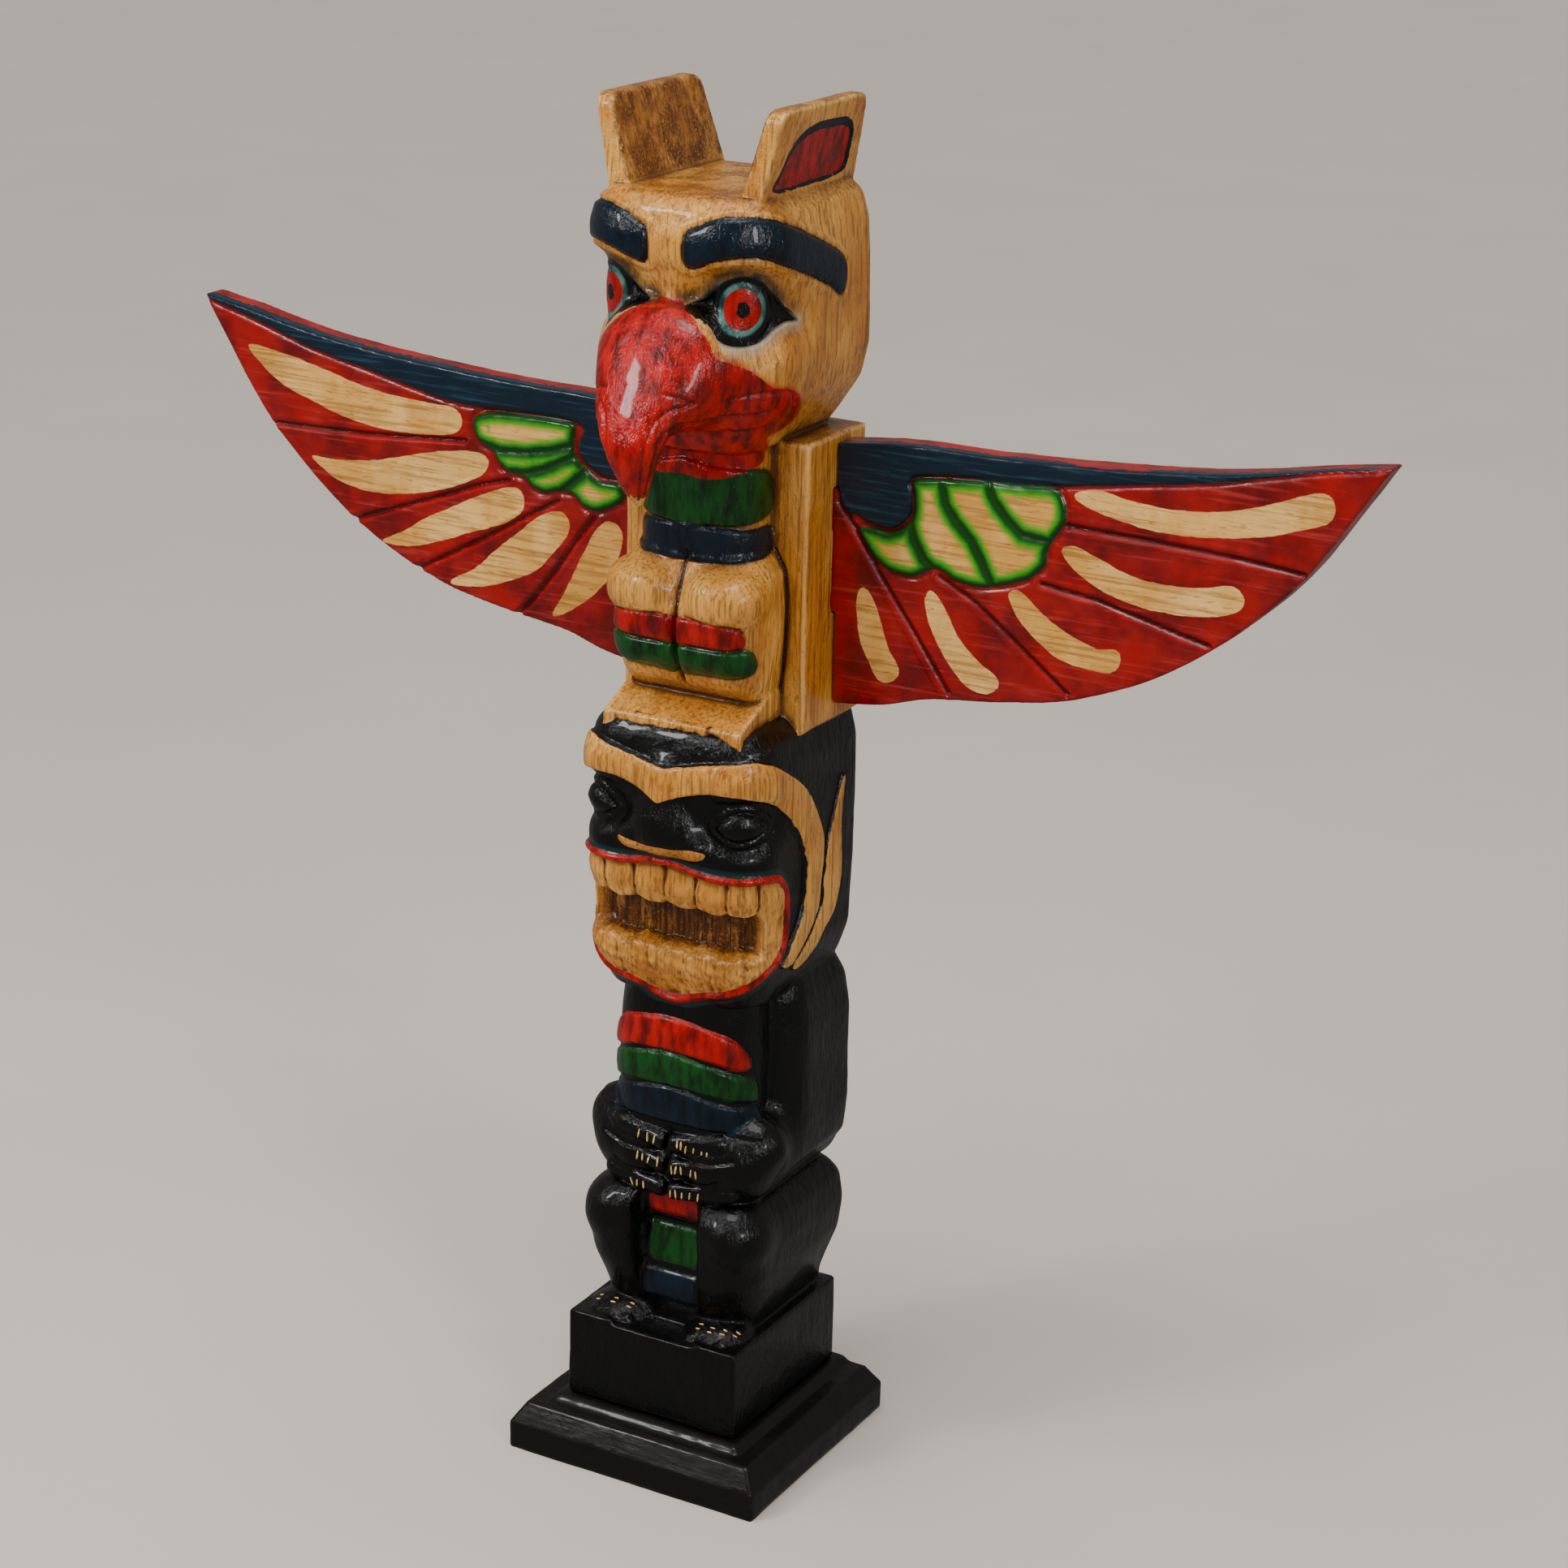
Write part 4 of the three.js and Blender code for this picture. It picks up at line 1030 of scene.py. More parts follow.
    def carve_mouth_lines(self, block: CarvingBlock) -> None:
        """Cuts the lines of the beak and its lips, from the corner of the mouth to the hook."""
        for side in (1, -1):
            for cut in self.beak_cuts:
                block.score(tuple((side * x, y, z) for x, y, z in cut), 1.5, 1.5)

    def up_the_ear(self, z: Values) -> Values:
        """0 at an ear's foot and 1 at its top."""
        return (z - self.ear_base) / self.ear_rise

    def ear(self, x: Values, y: Values, z: Values) -> Values:
        """Both ears: upright slabs that lean outwards, with rounded edges."""
        share = self.up_the_ear(z)
        outer, inner = 59.5 + 14.0 * share, 43.0 + 17.0 * share
        front, back = 43.5 - 5.0 * share, 85.5 - 8.0 * share
        middle, half = (outer + inner) / 2, (outer - inner) / 2
        qx, qy = np.abs(x) - middle, y - (back - front) / 2
        corner, arris = 9.0, 2.6
        depth, rise = np.abs(qy) - ((back + front) / 2 - corner), z - (1001.6 - corner)
        outline = np.hypot(np.maximum(depth, 0), np.maximum(rise, 0))
        outline = outline + np.minimum(np.maximum(depth, rise), 0) - corner + arris
        across = np.abs(qx) - half + arris
        slab_wall = np.hypot(np.maximum(outline, 0), np.maximum(across, 0))
        slab_wall = slab_wall + np.minimum(np.maximum(outline, across), 0) - arris
        return np.maximum(slab_wall, self.ear_low - z)

    def panel_distance(self, y: Values, z: Values) -> Values:
        """Signed distance to the leaf on an ear's outer face."""
        return drawn_distance(y, z, self.ear_panel)

    def carve_ears(self, block: CarvingBlock) -> None:
        """Adds the ears and sinks the leaf in each outer face."""
        block.add(self.ear, (-84, -52, 934), (84, 96, 1008), 2.0)
        cuts, (x, y, z) = block.window((-84, -46, 940), (84, 92, 996))
        yy, zz = np.broadcast_arrays(y[0], z[0])
        leaf = 2.6 * ease(-self.panel_distance(yy.astype(float), zz.astype(float)), -1.0, 1.6)
        outer = np.abs(x) > 51.5 + 15.5 * self.up_the_ear(z)
        block.wood[cuts] += np.where(outer, leaf[None, :, :], 0).astype(np.float32)

    def paint(self, coat: PaintCoat) -> None:
        """Paints brows, beak, eyes and ears."""
        head = coat.z > 748
        coat.lay_motif(self.zone, self.mask, Paint.RED, 1.0)
        beak = self.beak(coat.x[head], coat.y[head], coat.z[head]) - 1.6
        crown = drawn_distance(np.abs(coat.x[head]), coat.z[head], self.beak_crown)
        coat.lay(Paint.RED, np.maximum(np.maximum(beak, coat.y[head] + 56), crown), head)
        coat.lay_motif(self.zone, self.brow)
        cheeks = (coat.z > 750) & (coat.z < 880) & (coat.y < 40)
        coat.shade("blush", self.mask.distance(*coat.unrolled(self.zone, cheeks)), cheeks, FAR)
        where = (coat.z > 832) & (coat.z < 915) & (coat.y < 44) & (coat.y > -70)
        u, z = coat.unrolled(self.zone, where)
        lids = self.eye.distance(u, z)
        r = np.hypot(np.abs(u) - self.eye_centre[0], z - self.eye_centre[1])
        coat.lay(Paint.BLACK, lids, where)
        coat.lay(Paint.BARE, r - self.rings[0], where)
        coat.lay(Paint.RED, r - self.rings[1], where)
        coat.lay(Paint.BLACK, r - self.rings[2], where)
        coat.shade("lid_shade", lids, where, 40.0)
        coat.shade("eye_ring", r, where, 40.0)
        over = np.clip((z - self.eye_centre[1]) / 20.0, -1, 1)
        coat.shade("over_eye", over, where, 0.0)
        tops = coat.z > 925
        coat.shade("stain", 0.62 * ease(coat.upwards[tops], 0.45, 0.9), tops, 0.0)
        inner = (coat.z > 946) & (np.abs(coat.x) < 45 + 17.0 * self.up_the_ear(coat.z))
        coat.shade("stain", np.full(int(inner.sum()), 0.72), inner, 0.0)
        self.paint_ears(coat)

    def paint_ears(self, coat: PaintCoat) -> None:
        """Paints the leaf in each ear red with a dark rim at its top and front."""
        where = np.abs(coat.x) > 50.5 + 15.5 * self.up_the_ear(coat.z)
        where &= (coat.z > 940) & (coat.y > -44) & (coat.y < 78)
        leaf = self.panel_distance(coat.y[where], coat.z[where])
        coat.lay(Paint.NAVY, leaf, where)
        inner = self.panel_distance(coat.y[where] - 3.5, coat.z[where] + 4.0) + 1.5
        coat.lay(Paint.RED, np.maximum(inner, leaf + 1.0), where)


@dataclass
class CarvedPole:
    """The whole pole, carved from one block."""

    plinth: Plinth = field(default_factory=Plinth)
    bear: SeatedBear = field(default_factory=SeatedBear)
    bear_head: BearHead = field(default_factory=BearHead)
    bird_body: BirdBody = field(default_factory=BirdBody)
    bird_head: BirdHead = field(default_factory=BirdHead)
    most_triangles: int = 196000

    def build(self) -> bpy.types.Object:
        """Carves, meshes and paints the pole.

        Returns:
            The pole as one object.
        """
        block = CarvingBlock((-80, -122, FOOT), (80, 94, FOOT + CARVED_HEIGHT), POLE_STEP)
        figures = (self.plinth, self.bear, self.bear_head, self.bird_body, self.bird_head)
        for figure in figures:
            figure.carve(block)
        block.wobble(26.0, 0.38, 11)
        block.wobble(8.0, 0.16, 12)
        piece = block.mesh("pole_carving", self.most_triangles)
        points = vertex_points(piece)
        coat = PaintCoat(points, vertex_vectors(piece, "normal")[:, 2])
        for figure in figures:
            figure.paint(coat)
        coat.soft["recess"] = block.recess(points, 5.0)
        coat.soft["crease"] = block.recess(points, 2.0)
        coat.soft["scored"] = block.scored_distance(points)
        coat.write(piece)
        piece.data.materials.append(PoleFinish().material())
        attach(piece, "root")
        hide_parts("carved_pole")
        return piece


@dataclass(frozen=True)
class Feathers:
    """What is drawn on one wing's face, in distance from the pole's axis and height."""

    navy: Outline
    coverts: Outline
    lobes: tuple[Outline, ...]
    ovals: tuple[Outline, ...]
    grooves: tuple[Outline, ...]


FEATHERS_LEFT = Feathers(
    navy=((70, 768), (121, 774), (185, 774), (243, 774.5), (304, 778.5), (394, 791), (470, 807), (467, 803),
          (429, 796), (387, 786), (345, 776), (301, 769), (254, 761), (212, 756), (181, 755), (150, 753),
          (131, 748), (132, 738), (132, 725), (127, 717), (117, 711), (104, 712), (91, 716), (79, 724)),
    coverts=((134, 748), (159, 752), (187, 755), (218, 757), (239, 757.5), (247, 749), (248, 735),
             (240, 722), (236, 714), (235, 704), (226, 694), (215, 688), (200, 683), (184, 680),
             (168, 682), (153, 688), (137, 680), (121, 680), (110, 685), (100, 695), (92, 708),
             (104, 709), (117, 708), (129, 715), (134, 725), (134, 738)),
    lobes=(((156, 747), (159, 735), (167, 724), (180, 712), (187, 700), (196, 684)),
           ((190, 754), (195, 743), (207, 730), (217, 722), (237, 720)),
           ((132, 720), (136, 705), (144, 693), (154, 686))),
    ovals=(((254, 756), (272, 761), (296, 757), (332, 756), (366, 761), (394, 770), (416, 779), (431, 782),
            (437, 775), (434, 764), (421, 758), (396, 749), (362, 742), (321, 739), (291, 742), (261, 749)),
           ((246, 716), (256, 720), (275, 714), (299, 706), (326, 704), (349, 706), (370, 711), (379, 704),
            (376, 695), (362, 689), (336, 685), (306, 686), (279, 692), (256, 704)),
           ((209, 680), (218, 682), (235, 669), (253, 659), (275, 652), (290, 653), (294, 647), (288, 637),
            (273, 636), (248, 640), (226, 654), (213, 668)),
           ((145, 668), (152, 671), (162, 659), (173, 641), (190, 626), (203, 618), (202, 609), (192, 605),
            (178, 609), (161, 627), (149, 648)),
           ((92, 657), (97, 666), (104, 660), (111, 645), (118, 625), (127, 611), (123, 602), (112, 600),
            (104, 611), (95, 630))),
    grooves=(((250, 733), (306, 732), (371, 730), (419, 726)),
             ((232, 690), (274, 685), (314, 676), (356, 667)),
             ((155, 683), (182, 670), (215, 646), (255, 616)),
             ((76, 724), (91, 704), (110, 676), (135, 643), (165, 601))))

FEATHERS_RIGHT = Feathers(
    navy=((70, 768), (124, 773), (180, 774.5), (243, 775.5), (304, 779), (359, 786), (399, 793), (445, 802),
          (470, 808), (466, 800), (435, 792), (403, 783), (371, 774), (319, 764), (280, 756), (241, 750),
          (210, 750), (154, 751), (137, 749), (133, 744), (137, 735), (136, 727), (129, 720), (118, 715),
          (104, 713), (88, 717), (75, 727)),
    coverts=((228, 740), (218, 746), (195, 749), (169, 750), (146, 749.5), (140, 746), (141, 738),
             (141, 728), (135, 720), (128, 715), (118, 710), (103, 709), (98, 700), (108, 692),
             (121, 687), (134, 689), (142, 696), (152, 697), (165, 694), (176, 696), (185, 703),
             (197, 704.5), (206, 710), (212, 719), (221, 723), (227, 730)),
    lobes=(((222, 724), (203, 720), (180, 722), (158, 727), (141, 733)),
           ((197, 705), (180, 707), (165, 712), (150, 720), (137, 726)),
           ((152, 697), (143, 704), (134, 712), (129, 718))),
    ovals=(((432, 769), (413, 769), (387, 765), (359, 759), (327, 752), (296, 748), (264, 747), (245, 746),
            (238, 738), (241, 730), (253, 725), (280, 722), (312, 722), (344, 726), (372, 734), (400, 743),
            (420, 756)),
           ((375, 692), (353, 692), (320, 696), (289, 704), (257, 712), (230, 716), (216, 713), (217, 704),
            (228, 695), (257, 683), (289, 675), (321, 672), (349, 676), (365, 684)),
           ((311, 636), (290, 647), (270, 660), (246, 672), (222, 684), (203, 692), (190, 694), (184, 687),
            (187, 676), (203, 665), (227, 656), (254, 645), (282, 636), (302, 634)),
           ((250, 614), (227, 628), (207, 646), (188, 662), (169, 677), (154, 682), (145, 676), (147, 665),
            (158, 651), (173, 635), (196, 623), (219, 615), (239, 612)),
           ((160, 603), (150, 620), (140, 640), (131, 658), (122, 673), (112, 681), (102, 678), (100, 666),
            (109, 642), (122, 626), (139, 612), (152, 604))),
    grooves=(((407, 713), (360, 714), (320, 716), (281, 719), (236, 723)),
             ((338, 648), (301, 662), (258, 678), (222, 692), (198, 699)),
             ((283, 617), (258, 631), (223, 650), (188, 671), (155, 690)),
             ((193, 595), (177, 612), (158, 636), (139, 663), (124, 682))))


@dataclass
class Wing:
    """One wing: a flat board with carved feathers, and a tenon in the shoulder board's slot."""

    node: str
    side: int
    feathers: Feathers
    tenon_length: float = 12.6
    tenon_middle: float = 688.1
    tenon_half: float = 44.5
    tip_rise: float = 1.204
    paint_reach: float = 20.0
    most_triangles: int = 90000

    def outline(self, root: float, low: float, reach: float, tall: float) -> Values:
        """The wing's edge: a smooth top and a smooth bottom that meet at the tip and at the root.

        Args:
            root: Distance of the root from the pole's axis.
            low: Height of the root's lower corner.
            reach: Length of the wing.
            tall: Height of the root.

        Returns:
            The edge's points in order.
        """
        top = ((0, 1), (0.14, 1.03), (0.36, 1.04), (0.68, 1.09), (0.9, 1.17), (1.0, self.tip_rise))
        under = ((1.0, self.tip_rise), (0.95, 1.04), (0.86, 0.76), (0.74, 0.51), (0.61, 0.32), (0.47, 0.19),
                 (0.34, 0.13), (0.2, 0.09), (0.1, 0.03), (0, 0))
        runs = []
        for line in (top, under):
            ends = ((2 * line[0][0] - line[1][0], 2 * line[0][1] - line[1][1]),
                    (2 * line[-1][0] - line[-2][0], 2 * line[-1][1] - line[-2][1]))
            curve = rounded((ends[0], *line, ends[1]), 4)
            runs.append(curve[4:4 + 4 * (len(line) - 1)])
        return np.vstack(runs + [[(0.0, 0.0)]]) * (reach, tall) + (root, low)

    def relief(self, x: Values, z: Values) -> Values:
        """How far the carved face stands out or in, in millimetres."""
        navy = drawn_distance(x, z, self.feathers.navy)
        coverts = drawn_distance(x, z, self.feathers.coverts)
        face = -0.8 + 1.0 * ease(-navy, -0.8, 1.5) - 1.2 * bell(navy - 1.4, 1.6)
        face += 1.6 * ease(-coverts, -0.5, 2.5) - 1.4 * bell(coverts - 1.5, 1.8)
        for lobe in self.feathers.lobes:
            line = line_distance(x, z, np.array(lobe))
            face -= 1.3 * bell(line, 1.8) * ease(-coverts, 0, 2)
        for groove in self.feathers.grooves:
            line = line_distance(x, z, np.array(groove))
            face -= 2.4 * bell(line, 1.9) - 0.7 * bell(line - 4.5, 2.2)
        return face

    def build(self) -> bpy.types.Object:
        """Carves, meshes and paints the wing.

        Returns:
            The wing as one object.
        """
        corners = [np.array(corner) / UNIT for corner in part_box(self.node)]
        near, far = sorted((abs(corners[0][0]), abs(corners[1][0])))
        front, back = corners[0][1], corners[1][1]
        low, high = corners[0][2], corners[1][2]
        root, tall = near + self.tenon_length, (high - low) / self.tip_rise
        block = CarvingBlock((near, front - 2, low), (far, back, high), WING_STEP)
        room = 9
        cuts, (x, y, z) = block.window(
            (near - room, front - room, low - room), (far + room, back + room, high + room))
        xx, zz = (v[:, 0, :].astype(float) for v in np.broadcast_arrays(x, z))
        board = outline_distance(xx, zz, self.outline(root, low, far - root, tall))
        tenon = np.maximum(near - xx, xx - root - 6)
        tenon = np.maximum(tenon, np.abs(zz - self.tenon_middle) - self.tenon_half)
        plan = np.minimum(board + 0.3, tenon)[:, None, :]
        face = front + 0.2 - self.relief(xx, zz)[:, None, :]
        solid = soft_max(soft_max(plan, face - y, 2.2), y - back + 0.2, 2.2)
        block.wood[cuts] = solid
        block.wobble(22.0, 0.28, 31 + self.side)
        block.wobble(7.0, 0.12, 41 + self.side)
        piece = block.mesh(f"{self.node}_carving", self.most_triangles)
        self.paint(piece, block)
        if self.side < 0:
            piece.data.transform(Matrix.Scale(-1, 4, (1, 0, 0)))
            tidy_mesh(piece.data)
        piece.data.materials.append(WingFinish().material())
        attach(piece, "root")
        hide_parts(self.node)
        return piece

    def paint(self, piece: bpy.types.Object, block: CarvingBlock) -> None:
        """Stores the distances that the wing's finish reads."""
        points = vertex_points(piece)
        x, y, z = points.T
        drawn = self.feathers
        behind = np.where(y > (y.min() + y.max()) / 2, 5 * self.paint_reach, 0.0)
        navy, coverts = (drawn_distance(x, z, edge) for edge in (drawn.navy, drawn.coverts))
        lobes = np.minimum.reduce([line_distance(x, z, np.array(line)) for line in drawn.lobes])
        bare = np.minimum.reduce([drawn_distance(x, z, oval) for oval in drawn.ovals])
        groove = np.minimum.reduce([line_distance(x, z, np.array(line)) for line in drawn.grooves])
        for name, values in (
                ("paint_navy", navy + behind), ("paint_coverts", coverts + behind),
                ("covert_edge", np.maximum(coverts, -lobes)), ("bare_ovals", bare + behind),
                ("feather_cut", groove + behind), ("recess", block.recess(points, 4.0) * 10)):
            write_attribute(piece, name, np.clip(values, -self.paint_reach, self.paint_reach))


@dataclass
class BaseBoard:
    """The square board under the plinth, with its bevel and low rounded step."""

    edge_height: float = 20.5
    bevel_height: float = 16.0
    bevel_inset: float = 10.0
    step_margin: float = 9.0
    most_triangles: int = 60000

    def build(self) -> bpy.types.Object:
        """Shapes the board and finishes it.

        Returns:
            The board as one object.
        """
        low, high = (np.array(corner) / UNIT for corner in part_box("base_board"))
        block = CarvingBlock(tuple(low), tuple(high), BOARD_STEP)
        reach = 12.0
        cuts, (x, y, z) = block.window(tuple(low - reach), tuple(high + reach))
        plinth = Plinth()
        slope = self.bevel_inset / self.bevel_height
        inset = np.maximum(z - self.edge_height, 0) * slope
        wall = soft_max(np.abs(x) - high[0] + inset, np.abs(y) - high[1] + inset, 2.5) + 0.5
        board = soft_max(soft_max(wall, z - self.edge_height - self.bevel_height, 2.0), -z, 1.0)
        middle = (plinth.back - plinth.front) / 2
        side = np.abs(x) - plinth.half_width - self.step_margin
        ends = np.abs(y - middle) - (plinth.back + plinth.front) / 2 - self.step_margin
        step = soft_max(soft_max(side, ends, 5.0), z - high[2] + 0.2, 7.0)
        step = np.maximum(step, self.edge_height - z)
        block.wood[cuts] = soft_min(board, step, 2.5)
        block.wobble(30.0, 0.3, 51)
        block.wobble(8.0, 0.12, 52)
        piece = block.mesh("base_board_carving", self.most_triangles)
        points = vertex_points(piece)
        flat = points[:, 2] < 1.2
        points[flat, 2] = 0.0
        piece.data.vertices.foreach_set("co", (points * UNIT).ravel())
        write_attribute(piece, "recess", block.recess(points, 5.0))
        piece.data.materials.append(BlackGloss().material())
        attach(piece, "root")
        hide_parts("base_board")
        return piece


@dataclass
class ClawStrokes:
    """The short strokes of pale paint on the bear's fingers and toes."""

    pole: bpy.types.Object
    bear: SeatedBear
    finger_rows: tuple[tuple[float, tuple[float, ...]], ...] = (
        (257.5, (-23.0, -15.0, -9.0, 10.5, 13.5)), (254.5, (17.0, 23.0, 29.0, 33.0)),
        (240.0, (-23.2, -19.3, -14.0, -6.0)), (237.0, (6.4, 9.6, 13.8, 21.7, 26.6)),
        (218.0, (-29.0, -24.0, -18.0, 5.5, 9.7, 14.7, 20.9, 27.3)))
    toe_places: tuple[tuple[float, float], ...] = (
        (-56.0, -48.0), (-41.8, -50.2), (-28.6, -49.2), (31.8, -51.0), (42.2, -52.3), (51.6, -50.2),
        (60.0, -45.5))
    toe_gap: float = 4.0

    def places(self) -> list[tuple[Vector, Vector, Vector, float]]:
        """Where each stroke lies: its point, the surface's normal, its direction and its length."""
        tree = BVHTree.FromObject(self.pole, bpy.context.evaluated_depsgraph_get())
        rng = np.random.default_rng(7)
        found = []
        for height, row in self.finger_rows:
            for x in row:
                start = Vector((x, -100, height + rng.uniform(-0.8, 0.8))) * UNIT
                hit, normal, _, _ = tree.ray_cast(start, Vector((0, 1, 0)))
                along = Vector((rng.uniform(-0.1, 0.2), 0, 1))
                found.append((hit, normal, along, rng.uniform(0.8, 1.15)))
        for x, y in self.toe_places:
            for row in (0, 1):
                start = Vector((x - 0.6 * row, y - self.toe_gap * row, 135)) * UNIT
                hit, normal, _, _ = tree.ray_cast(start, Vector((0, 0, -1)))
                along = Vector((1, rng.uniform(-0.1, 0.1), 0))
                found.append((hit, normal, along, rng.uniform(0.5, 0.66)))
        return [place for place in found if place[0] is not None]

    def build(self) -> bpy.types.Object:
        """Lays the strokes on the pole with a Geometry Nodes tree.

        Returns:
            All strokes as one object.
        """
        places = self.places()
        mesh = bpy.data.meshes.new("claw_stroke_places")
        mesh.from_pydata([place[0] for place in places], [], [])
        turns = []
        rng = np.random.default_rng(8)
        for _, normal, along, _ in places:
            across = along.cross(normal).normalized()
            upright = normal.cross(across).normalized()
            turn = Matrix((across, upright, normal)).transposed().to_euler()
            turns.extend(turn)
        layer = mesh.attributes.new("turn", "FLOAT_VECTOR", "POINT")
        layer.data.foreach_set("vector", turns)
        sizes = mesh.attributes.new("size", "FLOAT_VECTOR", "POINT")
        sizes.data.foreach_set("vector", np.column_stack([
            rng.uniform(0.8, 1.15, len(places)), [place[3] for place in places],
            np.ones(len(places))]).ravel())
        piece = new_object("claw_strokes", mesh)
        tree = self.stroke_tree(StrokeFinish().material())
        modifier = piece.modifiers.new("strokes", "NODES")
        modifier.node_group = tree
        wanted = {"Stroke Width": 1.5 * UNIT, "Stroke Length": 7.4 * UNIT, "Stroke Height": 0.9 * UNIT}
        for item in tree.interface.items_tree:
            if item.item_type == "SOCKET" and item.name in wanted:
                modifier[item.identifier] = wanted[item.name]
        settle(piece)
        piece.data.polygons.foreach_set("use_smooth", [True] * len(piece.data.polygons))
        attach(piece, "root")
        return piece

    @staticmethod
    def stroke_tree(material: bpy.types.Material) -> bpy.types.NodeTree:
        """A tree that puts one flattened ball of paint on each point.

        Args:
            material: The strokes' finish.

        Returns:
            The node tree.
        """
        tree = bpy.data.node_groups.new("paint_strokes", "GeometryNodeTree")
        tree.interface.new_socket("Geometry", in_out="INPUT", socket_type="NodeSocketGeometry")
        for name in ("Stroke Width", "Stroke Length", "Stroke Height"):
            socket = tree.interface.new_socket(name, in_out="INPUT", socket_type="NodeSocketFloat")
            socket.default_value = 0.001
        tree.interface.new_socket("Geometry", in_out="OUTPUT", socket_type="NodeSocketGeometry")
        add = tree.nodes.new
        start, end = add("NodeGroupInput"), add("NodeGroupOutput")
        blob, size = add("GeometryNodeMeshUVSphere"), add("ShaderNodeCombineXYZ")
        shape, put = add("GeometryNodeTransform"), add("GeometryNodeInstanceOnPoints")
        real, dress = add("GeometryNodeRealizeInstances"), add("GeometryNodeSetMaterial")
        for name, value in (("Segments", 10), ("Rings", 6), ("Radius", 0.5)):
            blob.inputs[name].default_value = value
        turn, scale = add("GeometryNodeInputNamedAttribute"), add("GeometryNodeInputNamedAttribute")
        for node, name in ((turn, "turn"), (scale, "size")):
            node.data_type = "FLOAT_VECTOR"
            node.inputs["Name"].default_value = name
        dress.inputs["Material"].default_value = material
        link = tree.links.new
        for axis, name in zip("XYZ", ("Stroke Width", "Stroke Length", "Stroke Height")):
            link(start.outputs[name], size.inputs[axis])
        link(blob.outputs["Mesh"], shape.inputs["Geometry"])
        link(size.outputs["Vector"], shape.inputs["Scale"])
        link(start.outputs["Geometry"], put.inputs["Points"])
        link(shape.outputs["Geometry"], put.inputs["Instance"])
        link(turn.outputs["Attribute"], put.inputs["Rotation"])
        link(scale.outputs["Attribute"], put.inputs["Scale"])
        link(put.outputs["Instances"], real.inputs["Geometry"])
        link(real.outputs["Geometry"], dress.inputs["Geometry"])
        link(dress.outputs["Geometry"], end.inputs["Geometry"])
        return tree


def linear(hex_colour: str) -> tuple[float, float, float, float]:
    """A colour such as "c99a55" as linear red, green, blue and alpha."""
    channels = [int(hex_colour[k:k + 2], 16) / 255 for k in (0, 2, 4)]
    return (*(c / 12.92 if c <= 0.04045 else ((c + 0.055) / 1.055) ** 2.4 for c in channels), 1.0)


